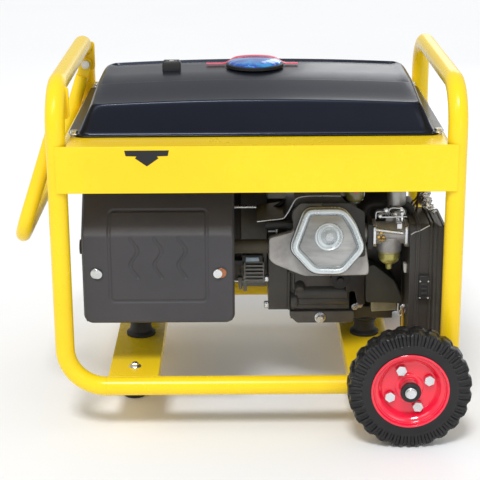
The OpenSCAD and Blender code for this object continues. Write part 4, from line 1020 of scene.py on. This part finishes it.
# ---------------------------------------------------------------- carburettor and its small parts
# Zinc die-cast body with a passivated olive bowl, brass jets and screws, a chromed throttle rod, a return
# spring and the bent brackets of the governor above it.
bowl_olive = finish(
    "bowl_olive", (0.46, 0.43, 0.13), (0.34, 0.30, 0.10), (0.7, 0.66, 0.35), rough=0.3, metal=0.6,
    spread=0.2, cloud=45, grain=600, relief=0.00003)
brass = finish(
    "brass", (0.62, 0.42, 0.14), (0.48, 0.31, 0.10), (0.85, 0.65, 0.3), rough=0.28, metal=0.9, cloud=60,
    relief=0.00002)
dress(bowl_olive, "carb_bowl")
dress(bright_zinc, "choke_lever")
carb = engine + (0, -0.172, 0.052)
piece(
    "throttle_rod",
    [
        wire(carb + (0.088, -0.0250, 0.0130) + stations * (0.046, 0, -0.0065), 0.0033, 16),
        turned([(0, 0.0042), (0.002, 0.0042)], carb + (0.088, -0.0250, 0.0130), "x", 20)],
    bright_zinc, "frame")
piece(
    "carb_flanges",
    [
        slab(
            box_outline((carb[1] - 0.0235, carb[2] - 0.017), (carb[1] + 0.021, carb[2] + 0.018), 0.005),
            carb[0] + x, carb[0] + x + 0.0055, "x", 0.0009)
        for x in (0.0838, 0.1375)],
    bright_zinc, "frame")
piece(
    "carb_gasket",
    [
        slab(
            box_outline((carb[1] - 0.025, carb[2] - 0.024), (carb[1] + 0.023, carb[2] + 0.023), 0.005),
            carb[0] + 0.0748, carb[0] + 0.0834, "x", 0.0006)],
    moulded, "frame")
screws = [
    turned([(0, 0.0034), (-0.003, 0.0034), (-0.0042, 0.0024)], carb + (x, -0.0185, z), "y", 18)
    for x, z in ((0.0935, -0.001), (0.0975, 0.006), (0.1015, -0.002))]
coil_turns = np.linspace(0, 14 * math.pi, 200)
spring = np.column_stack([
    carb[0] + 0.0945 + coil_turns * 0.00022, carb[1] - 0.0225 + 0.0026 * np.cos(coil_turns),
    carb[2] - 0.006 + 0.0026 * np.sin(coil_turns)])
piece("jet_screws", screws + [wire(spring, 0.0006, 6, (0, 0.2, 1))], brass, "frame")
piece(
    "bowl_band",
    [
        turned([(0, 0.0192), (0.0022, 0.0192), (0.003, 0.0182)], carb + (0.114, 0, -0.0335), "z", 48),
        turned([(0, 0.0215), (0.003, 0.0215), (0.0042, 0.0205)], carb + (0.114, 0, -0.0105), "z", 48)],
    bare_casting, "frame")


def strap(points, width, thick, along=(0, 1, 0)):
    """A bent flat strip: rings of a thin rectangle carried along the points, wide along the given axis."""
    path = np.asarray(points, float)
    ahead = np.gradient(path, axis=0)
    ahead /= np.linalg.norm(ahead, axis=1)[:, None]
    wide = np.asarray(along, float)
    normal = np.cross(ahead, wide)
    normal /= np.linalg.norm(normal, axis=1)[:, None]
    half_width, half_thick = width / 2, thick / 2
    corners = (
        (-half_width, -half_thick), (half_width, -half_thick), (half_width, half_thick),
        (-half_width, half_thick))
    return loft(np.stack([path + a * wide + b * normal for a, b in corners], 1))


bracket_at = carb + (0, 0.006, 0)
governor = [
    strap(
        bracket_at
        + smooth_path([(0.090, 0, 0.024), (0.0905, 0, 0.034), (0.094, 0, 0.0365), (0.112, 0, 0.0365)], 24),
        0.012, 0.0016),
    strap(
        bracket_at
        + smooth_path(
            [
                (0.112, 0, 0.0295), (0.113, 0, 0.040), (0.120, 0, 0.043), (0.136, 0, 0.040),
                (0.140, 0, 0.0305)],
            30),
        0.010, 0.0016),
    strap(
        bracket_at
        + smooth_path([(0.100, -0.012, 0.0290), (0.118, -0.014, 0.0300), (0.142, -0.012, 0.0296)], 20),
        0.0022, 0.0016, (0, 0, 1))]
for x, z in ((0.097, 0.030), (0.107, 0.040), (0.123, 0.0335), (0.134, 0.0345)):
    governor += bolt(bracket_at + (x, -0.0065, z), "y", 0.0065, 0.0034, 0.0042, -1)
arm_turns = np.linspace(0, 18 * math.pi, 260)
governor.append(
    wire(
        np.column_stack([
            bracket_at[0] + 0.099 + arm_turns * 0.00055, bracket_at[1] - 0.011 + 0.0024 * np.cos(arm_turns),
            bracket_at[2] + 0.0345 + 0.0024 * np.sin(arm_turns)]),
        0.0005, 6, (0, 0.2, 1)))
piece("governor_brackets", governor, bright_zinc, "frame")

# Fuel tap below the tank: zinc body, olive sediment cup and a chromed ring nut.
tap_lo, tap_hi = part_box("fuel_tap")
tap_x = engine[0] + 0.055
tap_y = -0.142
tap_foot = (tap_x, tap_y, tap_lo.z)
tap_high = tap_hi.z - tap_lo.z
cup_glass = finish(
    "cup_glass", (0.13, 0.12, 0.035), (0.08, 0.075, 0.02), rough=0.12, coat=0.9, spread=0.08, cloud=40,
    relief=0.00001)
cup = [(0.0, 0.0085), (0.0015, 0.0125), (0.004, 0.0150), (0.009, 0.0162), (0.022, 0.0165), (0.0245, 0.0155)]
piece("sediment_cup", [turned(cup, tap_foot, "z", 48)], cup_glass, "frame")
piece(
    "cup_ring",
    [
        turned([(-0.003, 0.006), (-0.0028, 0.0078), (0.0005, 0.0098), (0.0018, 0.0092)], tap_foot, "z", 24),
        turned(
            [
                (0.0245, 0.0172), (0.029, 0.0172), (0.031, 0.0125), (tap_high - 0.0175, 0.0122),
                (tap_high - 0.016, 0.0075), (tap_high, 0.007)],
            tap_foot, "z", 40),
        turned([(0, 0.009), (-0.0148, 0.009)], (tap_x, tap_y, tap_hi.z - 0.034), "y", 32),
        wire(np.array([tap_x, tap_y, tap_hi.z - 0.046]) + stations * (0.020, 0, 0), 0.0031, 16)],
    bright_zinc, "frame", ["fuel_tap"])
dress(tag_red, "tap_lever")

# Ignition condenser: a drawn tin can under the tank, necked down at its top.
can_at = (engine[0] + 0.126, -0.140, engine[2] + 0.0985)
tin = finish(
    "tin_can", (0.36, 0.36, 0.35), (0.26, 0.26, 0.25), rough=0.35, metal=0.8, cloud=40, relief=0.00003)
piece(
    "condenser_can",
    [
        turned(
            [
                (0, 0.012), (0.0012, 0.0145), (0.003, 0.0155), (0.034, 0.0155), (0.0355, 0.0148),
                (0.037, 0.006), (0.060, 0.006)],
            can_at, "z", 48)],
    tin, "frame")

# ---------------------------------------------------------------- air cleaner
# Two-part moulded box with a foam element, held by a moulded clip. Ribs stiffen the cover's edge, and
# the seam has a raised lip.
cleaner_black = finish(
    "cleaner_black", (0.033, 0.030, 0.027), (0.042, 0.038, 0.034), (0.13, 0.125, 0.115), rough=0.5,
    spread=0.12, cloud=9, grain=1300, relief=0.00007, edge=0.002, wear=0.35)
foam = finish(
    "foam", (0.58, 0.46, 0.13), (0.42, 0.33, 0.09), rough=0.9, cloud=60, grain=1500, relief=0.0006)
dress(cleaner_black, "cleaner_base", "cleaner_cover")
dress(moulded, "cleaner_clip")
dress(foam, "filter_element")
box_lo, box_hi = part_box("cleaner_cover")
base_lo, base_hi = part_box("cleaner_base")
front_y, rear_y = engine[1] - 0.210, engine[1] - 0.095
case_edge = box_outline((front_y, base_lo.z), (rear_y, base_hi.z), 0.009)
lip = [(0, -0.0014), (0.0012, -0.0022), (0.0030, -0.0022), (0.0042, -0.0014)]
piece(
    "cover_ribs",
    [
        loft(pressed(case_edge, [(x + h, d) for h, d in lip], "x"))
        for x in (box_lo.x + 0.0005, box_hi.x - 0.0125, box_hi.x - 0.0060)],
    cleaner_black, "air_cover", sharp=50)
piece(
    "base_rib", [loft(pressed(case_edge, [(base_hi.x - 0.0052 + h, d) for h, d in lip], "x"))],
    cleaner_black, "frame", sharp=50)
dome = [
    (0.0, 0.0030), (0.0040, 0.0030), (0.0050, 0.0045), (0.0090, 0.0048), (0.0100, 0.0036), (0.0135, 0.0036),
    (0.0150, 0.0055)]
piece(
    "cover_back", [loft(pressed(case_edge, [(box_hi.x + h, d) for h, d in dome], "x"))], cleaner_black,
    "air_cover", sharp=35)
clip_lo, clip_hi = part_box("cleaner_clip")
clip_mid = (clip_lo.x + clip_hi.x) / 2
piece(
    "clip_frame",
    [
        slab(
            rounded(
                [
                    (clip_mid - 0.0085, clip_lo.z + 0.002), (clip_mid + 0.0085, clip_lo.z + 0.002),
                    (clip_mid + 0.0078, clip_hi.z - 0.001), (clip_mid - 0.0078, clip_hi.z - 0.001)],
                0.0025),
            clip_lo.y - 0.0012, clip_lo.y + 0.0018, "y", 0.0008)]
    + [
        slab(
            box_outline(
                (clip_mid - 0.005, clip_lo.z + z), (clip_mid + 0.005, clip_lo.z + z + 0.004), 0.0012),
            clip_lo.y - 0.0026, clip_lo.y - 0.0010, "y", 0.0005)
        for z in (0.010, 0.018, 0.026)],
    moulded, "clip")
pin_places = [
    (clip_mid + x, clip_lo.y + 0.0002, clip_lo.z + z) for x in (-0.0068, 0.0068) for z in (0.0045, 0.034)]
piece(
    "clip_pins",
    [
        turned([(0.001, 0.0016), (-0.0016, 0.0016), (-0.0024, 0.0009)], place, "y", 14)
        for place in pin_places],
    bright_zinc, "clip")
piece(
    "cover_brow",
    [
        routed(
            [
                (0.1455, -0.2112, 0.0605), (0.152, -0.2112, 0.0645), (0.160, -0.2112, 0.0672),
                (0.168, -0.2112, 0.0715), (0.176, -0.2112, 0.0760)],
            30, 0.0011, 8)],
    bright_zinc, "frame")

# ---------------------------------------------------------------- lower cowl box
# A moulded duct below the carburettor with a slanted top, the pale bar of the blower's foot, a black sheet
# of painted shade and the fan's dark guard plate behind them, and a small white spacer against the air
# cleaner.
olive_plastic = finish(
    "olive_plastic", (0.036, 0.036, 0.026), (0.048, 0.046, 0.034), (0.12, 0.12, 0.10), rough=0.48, cloud=20,
    grain=1200, relief=0.00008, edge=0.002)
duct = outline_mm([(78, -17), (92, -14.5), (128, -44), (142.5, -78), (142.5, -86), (79, -84)], 0.004)
piece(
    "duct_box", [moved(slab(duct, -0.146, -0.113, "y", 0.0015), at_engine)], olive_plastic, "frame")
bar_edge = outline_mm([(89, -87.5), (134, -87.0), (136, -104), (90, -107)], 0.002)
bar_olive = finish(
    "bar_olive", (0.40, 0.40, 0.30), (0.27, 0.27, 0.20), (0.7, 0.7, 0.6), rough=0.4, metal=0.4, cloud=40,
    grain=500, relief=0.0001)
piece(
    "foot_bar", [moved(slab(bar_edge, -0.131, -0.108, "y", 0.0014), at_engine)], bar_olive, "frame")
piece(
    "spacer_block",
    [
        moved(
            slab(
                outline_mm([(139.5, -4), (144.6, -4), (144.6, -20), (140.5, -20)], 0.001), -0.174, -0.160,
                "y", 0.0008),
            at_engine)],
    gauge_marks, "frame")
# A black sheet behind the duct and above the mount is painted shade, standing where shade falls between the
# parts.
painted_shade_outline = outline_mm([(40, -22), (78, -24), (79, -96), (66, -97), (60, -70), (46, -74)], 0.004)
piece(
    "duct_painted_shade", [moved(slab(painted_shade_outline, -0.124, -0.112, "y", 0.0012), at_engine)], cowl_black, "frame")

# A dark guard plate closes the fan's side behind the carburettor.
fan_guard = outline_mm([(60, -60), (60, 28), (144, 36), (144, -84), (78, -84)], 0.006)
piece(
    "fan_guard", [moved(slab(fan_guard, -0.106, -0.103, "y", 0.001), at_engine)], cowl_black, "frame")

# Two amber drain hoses that run down beside the air cleaner and turn in to the cross member.
amber = finish(
    "amber_hose", (0.55, 0.34, 0.03), (0.42, 0.24, 0.02), (0.9, 0.75, 0.4), rough=0.2, coat=0.7, cloud=60,
    relief=0.00002)
hoses = []
for x in (0.1405, 0.1478):
    hoses.append(
        routed(
            [
                (x, -0.168, -0.084), (x, -0.168, -0.115), (x - 0.001, -0.166, -0.138),
                (x - 0.010, -0.158, -0.158), (x - 0.026, -0.150, -0.1655)],
            50, 0.0027, 14))
piece("drain_hoses", hoses, amber, "frame")
piece(
    "hose_hook",
    [
        routed(
            [
                (0.1335, -0.163, -0.080), (0.1335, -0.166, -0.095), (0.139, -0.168, -0.100),
                (0.145, -0.168, -0.092), (0.1478, -0.168, -0.084)],
            40, 0.0019, 10)]
    + bolt(at_engine((0.1405, -0.1735, -0.083)), "y", 0.008, 0.005, 0.0055, -1), bright_zinc, "frame")

# ---------------------------------------------------------------- wiring
# The loom leaves the fan end in crumpled foil tape, with brown leads beside it, up to the tank rail.
# The spark plug's black lead runs back over the cylinder.
foil = finish(
    "foil", (0.80, 0.79, 0.76), (0.62, 0.6, 0.56), rough=0.22, metal=0.85, spread=0.2, cloud=90,
    relief=0.0001)
copper_lead = finish(
    "copper_lead", (0.09, 0.035, 0.012), (0.04, 0.02, 0.01), rough=0.4, cloud=60, relief=0.00003)
random = np.random.default_rng(7)
loom_path = at_engine(
    smooth_path(
        [
            (0.196, -0.118, 0.040), (0.193, -0.120, 0.062), (0.183, -0.122, 0.082), (0.178, -0.120, 0.104),
            (0.182, -0.112, 0.135), (0.184, -0.100, 0.170)],
        60))
loom = swept(loom_path, 0.0085 + 0.0012 * np.sin(np.arange(60) * 0.9), 26, (0, 1, 0))
crumple = random.normal(0, 0.0016, loom.shape)
piece("foil_loom", [loft(loom + crumple)], foil, "frame", sharp=12)
leads = []
for n in range(5):
    sway = random.uniform(-0.010, 0.010, (5, 3)) * (1, 0.7, 1)
    leads.append(
        routed(
            np.array([
                (0.156, -0.128, 0.080), (0.163, -0.126, 0.092), (0.170, -0.124, 0.104),
                (0.176, -0.118, 0.130), (0.182, -0.104, 0.165)])
            + sway, 50, 0.0017, 10))
piece("loose_leads", leads, copper_lead, "frame")
plug_lead = at_engine(
    smooth_path(
        [
            (-0.090, -0.150, 0.065), (-0.090, -0.130, 0.066), (-0.086, -0.100, 0.072),
            (-0.040, -0.092, 0.095), (0.030, -0.09, 0.105), (0.075, -0.086, 0.112)],
        90))
piece("plug_lead", [wire(plug_lead, 0.0034, 12, (0, 0.1, 1))], rubber_black, "frame")

# ---------------------------------------------------------------- alternator
# Laminated stator between two cast end bells; the engine-side bell has a louvred air outlet with a blue-grey
# terminal lid above it and a drop tab below. Four long bolts tie the bells together.
bell_cast = finish(
    "bell_cast", (0.16, 0.155, 0.14), (0.11, 0.105, 0.095), (0.4, 0.4, 0.38), rough=0.48, metal=0.45,
    spread=0.2, cloud=20, grain=500, relief=0.0002, edge=0.002)
laminations = finish(
    "laminations", (0.075, 0.072, 0.068), (0.05, 0.045, 0.04), (0.2, 0.17, 0.14), rough=0.5, metal=0.6,
    spread=0.2, cloud=20, grain=300, relief=0.00025, stretch=(14, 0.4, 0.4))
dress(bell_cast, "drive_end_bracket", "alternator_cover")
dress(laminations, "stator")
vent_x, vent_z = engine[0] - 0.134, engine[2] - 0.058
vent_front = engine[1] - 0.112
vent_w, vent_h = 0.0355, 0.039


def at_vent(corners, radius):
    """A rounded outline, in millimetres from the vent's lower left corner."""
    return outline_mm(corners, radius) + (vent_x, vent_z)


louvre_grey = finish(
    "louvre_grey", (0.24, 0.24, 0.23), (0.17, 0.17, 0.16), (0.45, 0.45, 0.44), rough=0.45, metal=0.4,
    cloud=30, grain=600, relief=0.0001)
slats = [
    strap(
        np.column_stack([
            np.linspace(vent_x + 0.001, vent_x + vent_w - 0.001, 8), np.full(8, vent_front - 0.0006),
            np.full(8, vent_z + 0.0062 + 0.0067 * k)]),
        0.0055, 0.0022)
    for k in range(5)]
slats += [
    slab(
        box_outline((vent_x + x, vent_z + 0.001), (vent_x + x + 0.0026, vent_z + vent_h - 0.001), 0.0008),
        vent_front - 0.0028, vent_front + 0.002, "y", 0.0006)
    for x in (0, vent_w - 0.0026)]
piece("vent_slats", slats, louvre_grey, "frame")
lid_blue = finish(
    "lid_blue", (0.36, 0.50, 0.62), (0.28, 0.38, 0.50), (0.6, 0.68, 0.75), rough=0.25, coat=0.4, cloud=40,
    relief=0.00003)
piece(
    "terminal_lid",
    [
        slab(
            at_vent([(2.5, 40.5), (27.5, 40.5), (25.5, 48.5), (3.5, 48.5)], 0.0012), vent_front - 0.004,
            vent_front + 0.004, "y", 0.0008)],
    lid_blue, "frame")
piece(
    "terminal_block",
    [
        slab(
            at_vent([(-3, 39.2), (33, 39.2), (33, 52), (-3, 52)], 0.0015), vent_front - 0.0015,
            vent_front + 0.030, "y", 0.001),
        slab(
            at_vent([(-28, 30), (-1, 30), (-1, 40), (-28, 40)], 0.0015), vent_front + 0.006,
            vent_front + 0.026, "y", 0.001)],
    moulded, "frame")
piece(
    "drop_tab",
    [
        slab(
            at_vent([(-9.5, -17), (-4, -17), (-2, 6), (-11, 6)], 0.002), vent_front + 0.012,
            vent_front + 0.022, "y", 0.001)],
    bell_cast, "frame")
alt_left, alt_right, alt_r = -0.352, -0.100, 0.0975
tie_bolts = []
for angle in np.radians([45, 135, 225, 315]):
    spot = engine + (0, alt_r * math.cos(angle), alt_r * math.sin(angle))
    tie_bolts.append(wire(spot + (alt_left, 0, 0) + stations * (alt_right - alt_left, 0, 0), 0.003, 14))
    tie_bolts += bolt(spot + (alt_left, 0, 0), "x", 0.010, 0.006, 0.007, -1)
piece("tie_bolts", tie_bolts, bright_zinc, "frame")
piece(
    "stator_bands",
    [
        turned(
            [(x, 0.0922), (x + 0.001, 0.0936), (x + 0.005, 0.0936), (x + 0.006, 0.0922)], engine, "x", 96)
        for x in (-0.262, -0.222, -0.182)],
    laminations, "frame")

# ---------------------------------------------------------------- control panel
# A folded steel box on the far side with two weatherproof outlets, rockers, a meter and terminals.
# The meter has a white face with a needle and tick marks, and no words.
panel_grey = finish(
    "panel_grey", (0.055, 0.055, 0.058), (0.07, 0.07, 0.072), (0.18, 0.18, 0.18), rough=0.45, cloud=8,
    grain=900, relief=0.00006, coat=0.1)
dress(panel_grey, "control_panel")
dress(moulded, "sockets")
dress(
    finish("switch_red", (0.62, 0.02, 0.02), rough=0.35, cloud=50, grain=600, relief=0.00002),
    "breaker_toggle", "engine_switch")
dress(bright_zinc, "terminals")
dress(moulded, "voltmeter")
panel_lo, panel_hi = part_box("control_panel")
meter_lo, meter_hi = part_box("voltmeter")
meter_mid = ((meter_lo.x + meter_hi.x) / 2, meter_hi.y, (meter_lo.z + meter_hi.z) / 2)
piece(
    "meter_face", [turned([(-0.001, 0.0265), (0.0003, 0.0265), (0.0006, 0.0255)], meter_mid, "y", 64)],
    gauge_marks, "frame")
needle = [strap(np.array(meter_mid) + (0, 0.0012, -0.010) + stations * (-0.012, 0, 0.022), 0.0012, 0.0005)]
needle += [
    strap(
        np.array(meter_mid) + (0, 0.0012, -0.010)
        + stations[::4] * np.array([math.sin(a), 0, math.cos(a)]) * 0.004
        + np.array([math.sin(a), 0, math.cos(a)]) * 0.024, 0.0008, 0.0005)
    for a in np.radians(np.arange(-55, 56, 11))]
piece(
    "meter_needle",
    needle
    + [
        wire(
            circle((meter_mid[0], meter_hi.y + 0.0005, meter_mid[2]), 0.0282, "y", 64), 0.0019, 10,
            closed=True)],
    moulded, "frame")
socket_lo, socket_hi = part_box("sockets")
socket_r = (socket_hi.z - socket_lo.z) / 2
socket_x = (socket_lo.x + socket_r, socket_hi.x - socket_r)
socket_z = (socket_lo.z + socket_hi.z) / 2
piece(
    "socket_collars",
    [
        turned(
            [
                (0, socket_r + 0.006), (0.0025, socket_r + 0.006), (0.0045, socket_r + 0.0035),
                (0.0046, socket_r + 0.0003)],
            (x, panel_hi.y, socket_z), "y", 64)
        for x in socket_x],
    panel_grey, "frame")
corner_screws = []
for x in (panel_lo.x + 0.010, panel_hi.x - 0.010):
    for z in (panel_lo.z + 0.010, panel_hi.z - 0.010):
        corner_screws += bolt((x, panel_hi.y, z), "y", 0.007, 0.003, 0.0055, 1)
piece("panel_screws", corner_screws, bright_zinc, "frame")

# ---------------------------------------------------------------- floor
# A plain pale studio floor, slightly mottled so that it isn't one flat tone.
floor_paper = finish(
    "floor_paper", (0.93, 0.93, 0.93), (0.915, 0.915, 0.92), rough=0.7, cloud=0.8, grain=60, relief=0.00002,
    wear=0.0)
floor_x, floor_y = np.meshgrid(np.linspace(-20, 20, 9), np.linspace(-20, 20, 9), indexing="ij")
floor_mesh = bpy.data.meshes.new("floor")
floor_corners, floor_faces = grid(np.stack([floor_x, floor_y, 0 * floor_x - 0.0002], -1))
floor_mesh.from_pydata(floor_corners.tolist(), [], floor_faces)
floor_mesh.materials.append(floor_paper)
floor = bpy.data.objects.new("floor", floor_mesh)
bpy.context.collection.objects.link(floor)
